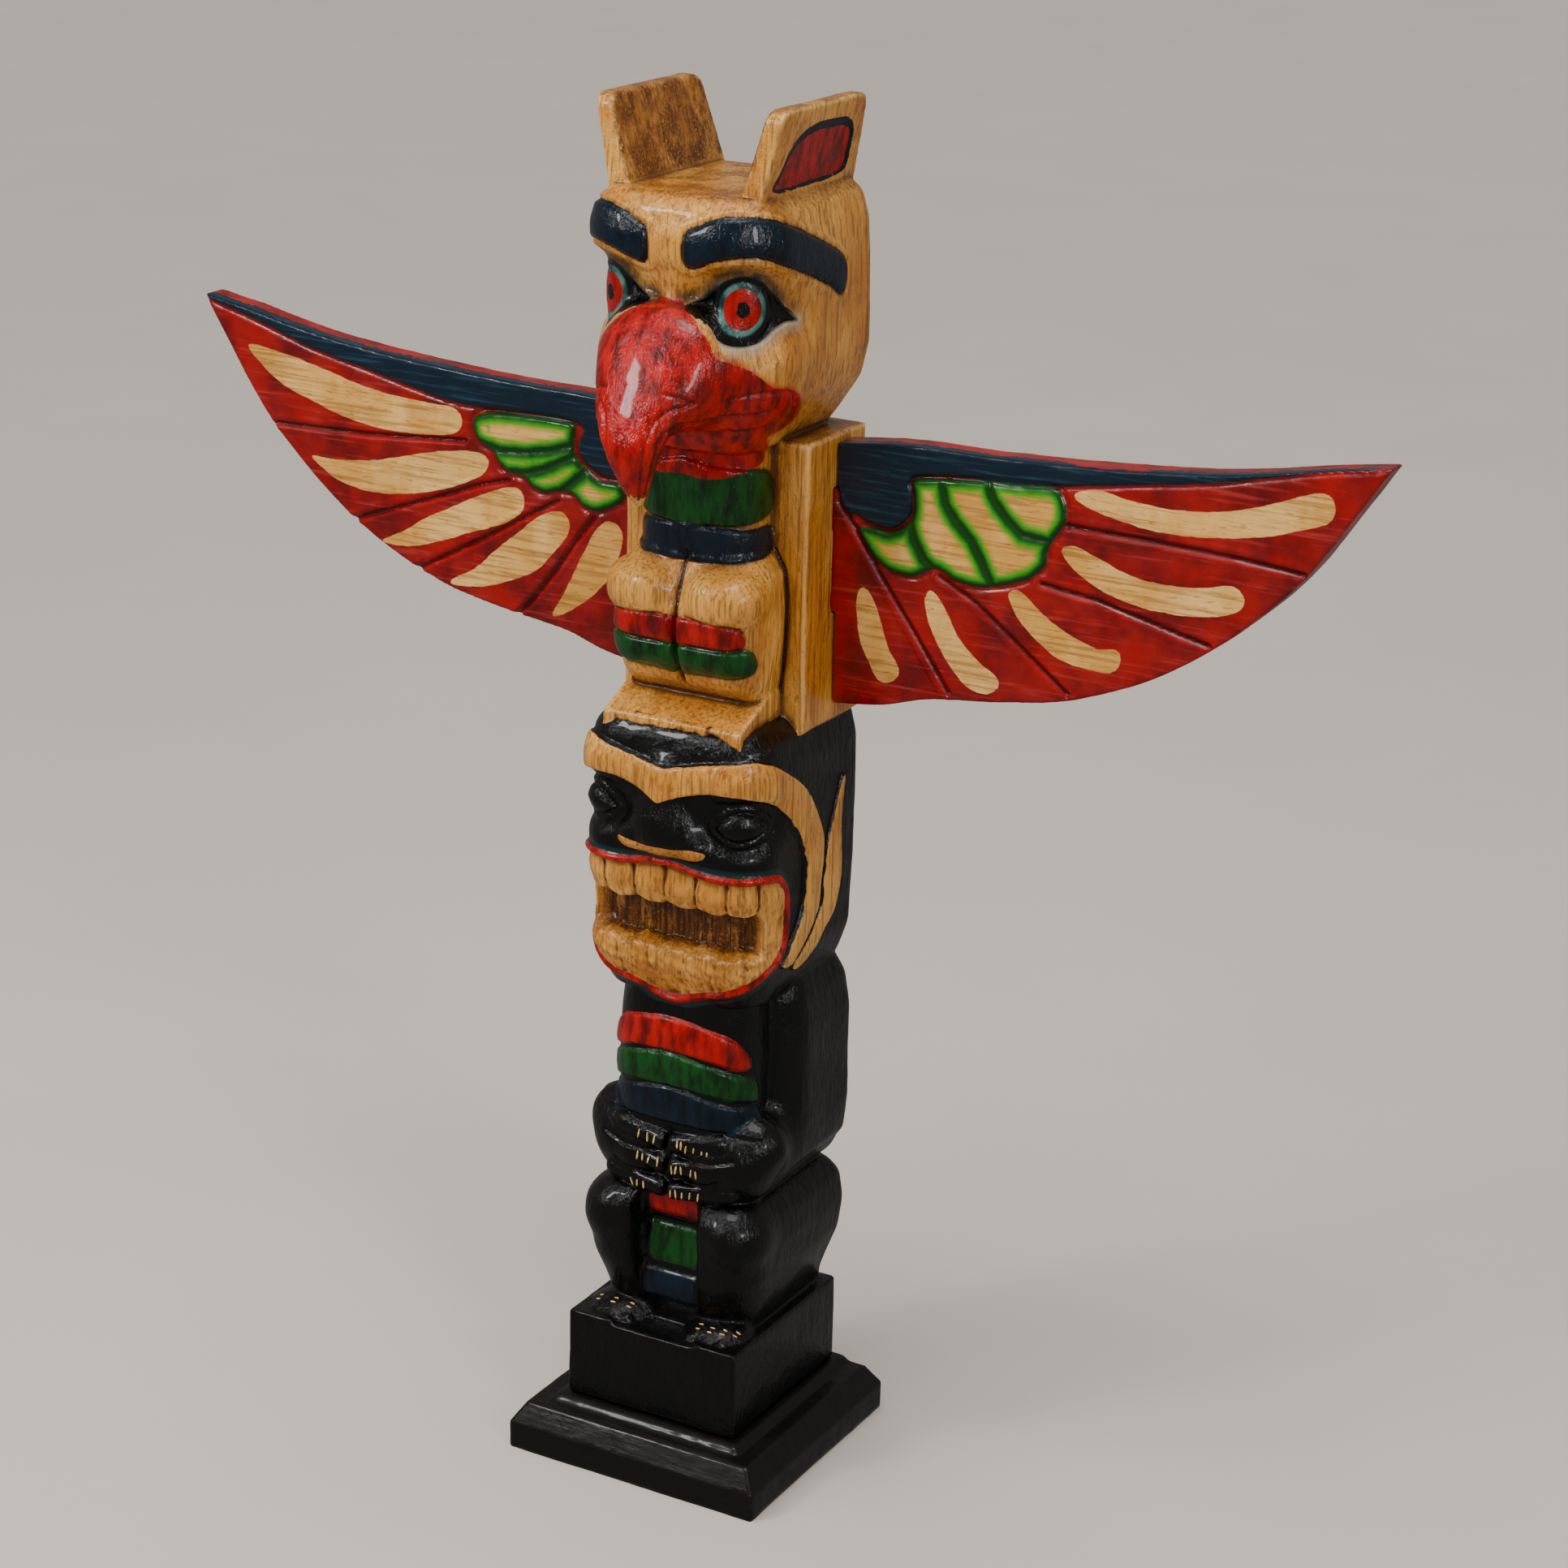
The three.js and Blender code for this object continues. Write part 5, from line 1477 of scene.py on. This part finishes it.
class NodeBench:
    """Builds one material's nodes with few words."""

    def __init__(self, name: str) -> None:
        """Starts a material with a Principled shader and the piece's own coordinates."""
        self.material = bpy.data.materials.new(name)
        self.material.use_nodes = True
        self.tree = self.material.node_tree
        self.shader = self.tree.nodes["Principled BSDF"]
        self.coords = self.tree.nodes.new("ShaderNodeTexCoord").outputs["Object"]

    def node(self, kind: str, inputs: dict | None = None, **settings: object) -> bpy.types.Node:
        """A node with its settings and inputs, each a value or another node's output."""
        node = self.tree.nodes.new(kind)
        for key, value in settings.items():
            setattr(node, key, value)
        for key, value in (inputs or {}).items():
            self.feed(node.inputs[key], value)
        return node

    def feed(self, socket: Socket, value: object) -> None:
        """Gives a socket another node's output, a colour in six letters and figures, or a value."""
        if isinstance(value, Socket):
            self.tree.links.new(value, socket)
        else:
            socket.default_value = linear(value) if isinstance(value, str) else value

    def maths(self, operation: str, a: object, b: object) -> Socket:
        """A sum on two values."""
        return self.node("ShaderNodeMath", {0: a, 1: b}, operation=operation).outputs[0]

    def times(self, a: object, b: object) -> Socket:
        """Two values multiplied."""
        return self.maths("MULTIPLY", a, b)

    def plus(self, a: object, b: object) -> Socket:
        """Two values added."""
        return self.maths("ADD", a, b)

    def stray(self, noise: Socket, middle: float, reach: float) -> Socket:
        """Noise as a straying either way: its distance from a middle value, stretched."""
        return self.times(self.maths("SUBTRACT", noise, middle), reach)

    def mix(self, share: object, a: object, b: object) -> Socket:
        """A blend of two colours."""
        node = self.node("ShaderNodeMix", {"Factor": share}, data_type="RGBA")
        self.feed(node.inputs[6], a)
        self.feed(node.inputs[7], b)
        return node.outputs[2]

    def span(self, value: object, low: float, high: float, start: float = 0.0,
             end: float = 1.0) -> Socket:
        """A value stretched smoothly from one range to another."""
        return self.node("ShaderNodeMapRange", {
            "Value": value, "From Min": low, "From Max": high, "To Min": start, "To Max": end,
        }, interpolation_type="SMOOTHSTEP").outputs[0]

    def noise(self, scale: float, stretch: Corner = (1, 1, 1), detail: float = 3.0, rough: float = 0.55,
              place: Corner = (0, 0, 0)) -> Socket:
        """Noise on the piece's own coordinates.

        Args:
            scale: Bumps per metre.
            stretch: How much each axis counts.
            detail: How many finer rounds are added.
            rough: How strong those are.
            place: Where the pattern starts.

        Returns:
            The noise, from 0 to 1.
        """
        spot = self.node("ShaderNodeMapping", {
            "Vector": self.coords, "Scale": stretch, "Location": place}).outputs[0]
        return self.node("ShaderNodeTexNoise", {
            "Vector": spot, "Scale": scale, "Detail": detail, "Roughness": rough}).outputs["Fac"]

    def stored(self, name: str) -> Socket:
        """A number stored on the piece's points."""
        return self.node("ShaderNodeAttribute", attribute_name=name).outputs["Fac"]

    def bump(self, height: Socket, distance: float, strength: float,
             under: Socket | None = None) -> Socket:
        """Fine relief from a height, over another relief if there is one."""
        inputs = {"Height": height, "Distance": distance, "Strength": strength}
        if under is not None:
            inputs["Normal"] = under
        return self.node("ShaderNodeBump", inputs).outputs["Normal"]

    def finish(self, colour: object, roughness: object, normal: object, coat: float, coat_rough: float,
               shine: float = 0.5) -> bpy.types.Material:
        """Joins colour, roughness and relief to the shader and sets its even values."""
        for key, value in (("Base Color", colour), ("Roughness", roughness), ("Normal", normal)):
            self.tree.links.new(value, self.shader.inputs[key])
        self.shader.inputs["Coat Weight"].default_value = coat
        self.shader.inputs["Coat Roughness"].default_value = coat_rough
        self.shader.inputs["Specular IOR Level"].default_value = shine
        return self.material


@dataclass(frozen=True)
class StainedWood:
    """Varnished wood with grain along one axis and stain that has settled in the hollows, lighter on its
    ridges with wear and a painted highlight, and darkened in tight creases with painted shade.
    """

    light: str = "dc9f4a"
    middle: str = "ba782c"
    dark: str = "63340a"
    deep: str = "281104"
    # Lighter wood for the ridges: worn wood, and also a painted highlight
    worn: str = "f0c57c"

    def colour(self, bench: NodeBench, along: str, recess: Socket,
               crease: Socket, stain: object = 0.0) -> Socket:
        """The wood's colour.

        Args:
            bench: The material being built.
            along: The axis of the grain, "X" or "Z".
            recess: How deep each point lies in a hollow.
            crease: The same, close up.
            stain: Where more stain was wiped on, from 0 to 1; in the mouth's hollow it also stands for
                painted shade.

        Returns:
            The colour socket.
        """
        thin = (1, 1, 0.035) if along == "Z" else (0.035, 1, 1)
        streaks = bench.noise(420, thin, 4.0, 0.6)
        pores = bench.noise(900, tuple(0.6 * v if v == 1 else 0.12 for v in thin), 2.0, 0.5, (3, 1, 2))
        clouds = bench.noise(19, (1, 1, 0.5), 4.0, 0.62, (5, 5, 5))
        stipple = bench.noise(520, (1, 1, 1), 3.0, 0.7, (9, 2, 4))
        wood = bench.mix(bench.span(clouds, 0.36, 0.64), self.light, self.middle)
        # Lighter on ridges: worn wood and a painted highlight
        ridge = bench.times(bench.span(recess, -0.08, -0.24), 0.55)
        wood = bench.mix(ridge, wood, self.worn)
        wood = bench.mix(bench.span(streaks, 0.44, 0.66, 0, 0.62), wood, self.dark)
        wood = bench.mix(bench.span(pores, 0.6, 0.7, 0, 0.5), wood, self.dark)
        hollow = bench.times(bench.span(recess, 0.01, 0.16), bench.span(clouds, 0.25, 0.6, 0.55, 0.95))
        wood = bench.mix(hollow, wood, self.dark)
        patches = bench.noise(46, (1, 1, 0.7), 4.0, 0.65, (2, 6, 3))
        # Wiped stain darkens the wood; in the mouth's hollow this is also painted shade
        wiped = bench.times(stain, bench.span(stipple, 0.3, 0.56, 0.35, 1.2))
        wiped = bench.times(wiped, bench.span(patches, 0.36, 0.6, 0.3, 1.15))
        wood = bench.mix(wiped, wood, self.dark)
        deeper = bench.times(bench.span(stain, 0.6, 1.0), bench.span(streaks, 0.4, 0.62, 0.15, 0.85))
        wood = bench.mix(deeper, wood, self.deep)
        # Painted shade: the wood is darkened to deep brown in tight creases
        return bench.mix(bench.span(crease, 0.035, 0.16, 0, 0.9), wood, self.deep)


@dataclass(frozen=True)
class PaintLayer:
    """One colour of gloss paint, brushed on by hand."""

    paint: Paint
    main: str
    shade: str
    worn: str
    wear: float = 0.25


POLE_PAINTS = (
    PaintLayer(Paint.BLACK, "060404", "020202", "20140c", 0.25),
    PaintLayer(Paint.RED, "ad0605", "520202", "d0331f", 0.3),
    PaintLayer(Paint.GREEN, "064410", "021c05", "2f7d22", 0.35),
    PaintLayer(Paint.NAVY, "071826", "030a12", "24495c", 0.35),
)


@dataclass(frozen=True)
class PoleFinish:
    """The finish of the whole pole: stained wood and every paint on it, under gloss varnish."""

    wood: StainedWood = StainedWood()
    paints: tuple[PaintLayer, ...] = POLE_PAINTS

    def painted(self, bench: NodeBench, under: object, layer: PaintLayer, recess: object, crease: object,
                wobble: object) -> Socket:
        """Brushes one paint over what is under it.

        Args:
            bench: The material being built.
            under: The colour under the paint.
            layer: The paint.
            recess: How deep each point lies in a hollow.
            crease: The same, close up.
            wobble: How the hand strays at the edges, in millimetres.

        Returns:
            The colour socket.
        """
        edge = bench.plus(bench.stored(f"paint_{layer.paint.value}"), wobble)
        cover = bench.span(edge, 0.55, 0.05)
        brush = bench.noise(120, (1, 1, 0.3), 4.0, 0.6, (len(layer.main), 2, ord(layer.main[1]) % 7))
        colour = bench.mix(bench.span(brush, 0.35, 0.7), layer.main, layer.shade)
        ridge = bench.times(bench.span(recess, -0.06, -0.26), bench.span(brush, 0.3, 0.6, 1.0, 0.2))
        colour = bench.mix(bench.times(ridge, layer.wear), colour, layer.worn)
        colour = bench.mix(bench.span(crease, 0.05, 0.2, 0, 0.85), colour, layer.shade)
        return bench.mix(cover, under, colour)

    def eye_colours(self, bench: NodeBench, under: object) -> Socket:
        """The teal ring round the iris, the dark teal round the lids, airbrushed and with painted shade
        under the brow, and a painted highlight under them.
        """
        ring, lids, over = bench.stored("eye_ring"), bench.stored("lid_shade"), bench.stored("over_eye")
        haze = bench.noise(60, (1, 1, 1), 3.0, 0.6, (8, 1, 4))
        outside = bench.span(lids, -1.0, 0.4)
        # Painted highlight: a pale cream sheen on the lower lid
        pale = bench.times(bench.span(lids, 10.0, 0.5), bench.span(over, -0.1, -0.6, 0, 0.42))
        under = bench.mix(bench.times(pale, outside), under, "e9dcc0")
        # Dark teal airbrushed round the lids, strongest above the eye, where it is also painted shade under
        # the brow
        reach = bench.span(lids, 13.5, 0.0)
        dusk = bench.times(reach, bench.span(over, -0.5, 0.4, 0.15, 1.0))
        dusk = bench.times(dusk, bench.span(haze, 0.25, 0.6, 0.55, 1.0))
        dusk = bench.times(dusk, outside)
        shaded = bench.mix(dusk, under, "08231f")
        inside = bench.times(bench.span(ring, 13.6, 14.4), bench.span(ring, 19.0, 18.2))
        teal = bench.mix(bench.span(haze, 0.35, 0.65), "4d807a", "0d3634")
        teal = bench.mix(bench.span(ring, 16.6, 18.6), teal, "061a1c")
        return bench.mix(inside, shaded, teal)

    def material(self) -> bpy.types.Material:
        """Builds the pole's material."""
        bench = NodeBench("pole_stained_and_painted")
        recess, crease = bench.stored("recess"), bench.stored("crease")
        wobble = bench.stray(bench.noise(90, (1, 1, 1), 2.0), 0.65, 2.4)
        colour = self.wood.colour(bench, "Z", recess, crease, bench.stored("stain"))
        mottle = bench.noise(70, (1, 1, 0.6), 4.0, 0.65, (4, 4, 1))
        blush = bench.plus(bench.stored("blush"), bench.stray(mottle, 0.5, 7.0))
        colour = bench.mix(bench.span(blush, 5.0, -1.5, 0, 0.8), colour, "b3190f")
        for layer in self.paints:
            colour = self.painted(bench, colour, layer, recess, crease, wobble)
        rim = bench.stored("lip_edge")
        teal = bench.times(bench.span(rim, 0.2, 1.0), bench.span(rim, 6.0, 3.5, 0, 0.8))
        colour = bench.mix(teal, colour, "0a2a2c")
        colour = self.eye_colours(bench, colour)
        # Painted shade: the cut lines are darkened to near black along their middles
        cut = bench.plus(bench.stored("scored"), bench.times(wobble, 0.35))
        colour = bench.mix(bench.span(cut, 1.7, 0.7, 0, 0.88), colour, "1c0504")
        smears = bench.noise(45, (1, 1, 1), 4.0, 0.6, (1, 7, 3))
        roughness = bench.span(smears, 0.3, 0.7, 0.14, 0.32)
        grain = bench.bump(bench.noise(380, (1, 1, 0.05), 4.0), 0.0008, 0.3)
        strokes = bench.bump(bench.noise(150, (1, 1, 0.4), 4.0, 0.65), 0.003, 0.6, grain)
        stipple = bench.bump(bench.noise(620, (1, 1, 1), 2.0), 0.0007, 0.4, strokes)
        return bench.finish(colour, roughness, stipple, 0.2, 0.05, 0.42)


@dataclass(frozen=True)
class WingFinish:
    """The wings' finish: red ground, navy edge, shaded green coverts and bare ovals."""

    wood: StainedWood = StainedWood("e6b66a", "cf9644", "84511c", "4a2a12", "efca8a")

    def material(self) -> bpy.types.Material:
        """Builds the wings' material."""
        bench = NodeBench("wing_painted")
        recess = bench.times(bench.stored("recess"), 0.1)
        wobble = bench.stray(bench.noise(110, (1, 1, 1), 2.0), 0.5, 1.8)
        streaks = bench.noise(300, (0.05, 1, 1), 4.0, 0.6)
        clouds = bench.noise(24, (1, 1, 1), 4.0, 0.6, (2, 2, 2))
        red = bench.mix(bench.span(clouds, 0.35, 0.68), "94090d", "5f0508")
        red = bench.mix(bench.span(streaks, 0.52, 0.75, 0, 0.5), red, "bb3a35")
        wood = self.wood.colour(bench, "X", recess, recess)
        bare = bench.span(bench.plus(bench.stored("bare_ovals"), wobble), 0.25, -0.25)
        colour = bench.mix(bare, red, wood)
        navy = bench.mix(bench.span(streaks, 0.5, 0.78, 0, 0.6), "0a1c2a", "2a5468")
        edge = bench.span(bench.plus(bench.stored("paint_navy"), wobble), 0.25, -0.25)
        colour = bench.mix(edge, colour, navy)
        depth = bench.plus(bench.stored("covert_edge"), bench.times(wobble, 1.3))
        green = bench.mix(bench.span(depth, -2.2, -6.5), "053c0b", "349212")
        green = bench.mix(bench.span(depth, -5.2, -11.5), green, wood)
        patch = bench.span(bench.plus(bench.stored("paint_coverts"), wobble), 0.25, -0.25)
        colour = bench.mix(patch, colour, green)
        # Painted shade: the feather grooves are darkened along their middles
        dark = bench.span(bench.stored("feather_cut"), 1.6, 0.2, 0, 0.85)
        colour = bench.mix(dark, colour, "2a0606")
        # Painted shade: the wing's face is darkened in its recesses
        colour = bench.mix(bench.span(recess, 0.05, 0.2, 0, 0.7), colour, "2e0808")
        smears = bench.noise(40, (1, 1, 1), 4.0, 0.6, (1, 7, 3))
        roughness = bench.span(smears, 0.3, 0.7, 0.2, 0.38)
        grain = bench.bump(bench.noise(330, (0.05, 1, 1), 4.0), 0.0006, 0.4)
        strokes = bench.bump(bench.noise(110, (0.35, 1, 1), 4.0, 0.65), 0.001, 0.3, grain)
        return bench.finish(colour, roughness, strokes, 0.18, 0.08, 0.4)


@dataclass(frozen=True)
class BlackGloss:
    """Gloss black paint over the base board, worn brown at its edges."""

    main: str = "0b0807"
    worn: str = "2c1c12"

    def material(self) -> bpy.types.Material:
        """Builds the board's material."""
        bench = NodeBench("board_black_gloss")
        recess = bench.stored("recess")
        streaks = bench.noise(200, (0.12, 1, 1), 4.0, 0.65)
        worn = bench.times(bench.span(recess, -0.1, -0.28), bench.span(streaks, 0.4, 0.7))
        colour = bench.mix(bench.span(streaks, 0.5, 0.8, 0, 0.4), self.main, "1d1512")
        colour = bench.mix(bench.times(worn, 0.6), colour, self.worn)
        smears = bench.noise(60, (0.4, 1, 1), 5.0, 0.7)
        roughness = bench.span(smears, 0.3, 0.7, 0.3, 0.5)
        brushed = bench.bump(bench.noise(260, (0.1, 1, 1), 4.0, 0.6), 0.0008, 0.4)
        lumps = bench.bump(bench.noise(70, (1, 1, 1), 3.0, 0.5), 0.002, 0.35, brushed)
        return bench.finish(colour, roughness, lumps, 0.15, 0.1, 0.4)


@dataclass(frozen=True)
class StrokeFinish:
    """Thick cream and gold paint of the claw strokes."""

    def material(self) -> bpy.types.Material:
        """Builds the strokes' material."""
        bench = NodeBench("claw_stroke_paint")
        mottle = bench.noise(500, (1, 1, 1), 3.0)
        colour = bench.mix(bench.span(mottle, 0.35, 0.65), "e8cf8f", "b88a3c")
        roughness = bench.span(mottle, 0.3, 0.7, 0.25, 0.4)
        return bench.finish(colour, roughness, bench.bump(mottle, 0.0002, 0.4), 0.4, 0.1)


@dataclass
class Studio:
    """The pale floor, the soft lights and the camera."""

    azimuth: float = 29.099
    elevation: float = 19.4437
    roll: float = 1.3156
    distance: float = 2.5459
    aim_across: float = 0.0543
    aim_height: float = 0.5166
    lens: float = 82.34

    def camera(self) -> None:
        """Sets the camera at the photograph's angle."""
        az, el, turn = (math.radians(v) for v in (self.azimuth, self.elevation, self.roll))
        back = Vector((math.sin(az) * math.cos(el), -math.cos(az) * math.cos(el), math.sin(el)))
        right = Vector((math.cos(az), math.sin(az), 0))
        up = right.cross(-back).normalized()
        tall = (POLE_HIGH.z - POLE_LOW.z) / 0.96
        aim = Vector((self.aim_across * math.cos(az), self.aim_across * math.sin(az), self.aim_height))
        across = math.cos(turn) * right + math.sin(turn) * up
        upright = -math.sin(turn) * right + math.cos(turn) * up
        data = bpy.data.cameras.new("studio_camera")
        data.lens = self.lens
        data.sensor_width = 36.0
        data.clip_end = 50
        camera = new_object("studio_camera", data)
        camera.matrix_world = Matrix.Translation((aim + self.distance * back) * tall) @ Matrix(
            (across, upright, back)).transposed().to_4x4()
        bpy.context.scene.camera = camera

    def floor(self) -> None:
        """Lays the floor."""
        mesh = bpy.data.meshes.new("studio_floor")
        size = 30.0
        corners = [(-size, -size, 0), (size, -size, 0), (size, size, 0), (-size, size, 0)]
        mesh.from_pydata(corners, [], [(0, 1, 2, 3)])
        floor = new_object("studio_floor", mesh)
        bench = NodeBench("studio_paper")
        shade = bench.mix(bench.noise(3, (1, 1, 1), 2.0), "bdb5ab", "b6aea4")
        rough = bench.span(bench.noise(50, (1, 1, 1), 2.0), 0.0, 1.0, 0.8, 0.9)
        fibres = bench.bump(bench.noise(400), 0.0002, 0.1)
        floor.data.materials.append(bench.finish(shade, rough, fibres, 0, 0.5))
        floor.visible_glossy = False

    def light(self, name: str, place: Corner, aim: Corner, size: tuple[float, float], power: float,
              mirrored: bool = True) -> None:
        """Hangs one soft box.

        Args:
            name: Its name.
            place: Where it hangs, in metres.
            aim: The point it faces.
            size: Its width and height.
            power: Its power in watts.
            mirrored: Whether it shows in the varnish.
        """
        data = bpy.data.lights.new(name, "AREA")
        data.shape = "RECTANGLE"
        data.size, data.size_y = size
        data.energy = power
        lamp = new_object(name, data)
        lamp.location = place
        lamp.visible_glossy = mirrored
        lamp.rotation_euler = (Vector(aim) - Vector(place)).to_track_quat("-Z", "Y").to_euler()

    def build(self) -> None:
        """Sets up camera, floor and lights."""
        self.camera()
        self.floor()
        middle = (0.0, 0.0, 0.55)
        self.light("soft_box_left", (-1.3, -1.8, 1.9), middle, (0.26, 0.5), 17)
        self.light("soft_box_fill", (-1.5, -1.7, 2.0), middle, (1.0, 1.0), 16, False)
        self.light("soft_box_right", (2.2, -1.3, 1.5), middle, (0.35, 0.7), 17)
        self.light("soft_box_top", (0.2, -0.5, 2.8), middle, (1.0, 0.8), 22)
        sky = bpy.data.lights.new("ceiling_light", "SUN")
        sky.energy = 3.2
        sky.angle = math.radians(70)
        ceiling = new_object("ceiling_light", sky)
        ceiling.rotation_euler = (math.radians(12), math.radians(-10), 0)
        ceiling.visible_glossy = False
        world = bpy.data.worlds.new("studio_air")
        world.use_nodes = True
        world.node_tree.nodes["Background"].inputs["Color"].default_value = (0.62, 0.6, 0.57, 1)
        world.node_tree.nodes["Background"].inputs["Strength"].default_value = 0.3
        bpy.context.scene.world = world


def main() -> None:
    """Builds the pole, its board, its wings and the studio, and reports each piece."""
    logging.basicConfig(level=logging.INFO, format="%(message)s", stream=sys.stdout)
    carved = CarvedPole()
    pieces = [carved.build()]
    pieces.append(ClawStrokes(pieces[0], carved.bear).build())
    pieces.append(BaseBoard().build())
    pieces.append(Wing("wing_left", 1, FEATHERS_LEFT).build())
    pieces.append(Wing("wing_right", -1, FEATHERS_RIGHT).build())
    for piece in pieces:
        LOG.info("%s: %d triangles", piece.name, len(piece.data.polygons))
    Studio().build()
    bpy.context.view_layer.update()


if __name__ == "__main__":
    main()
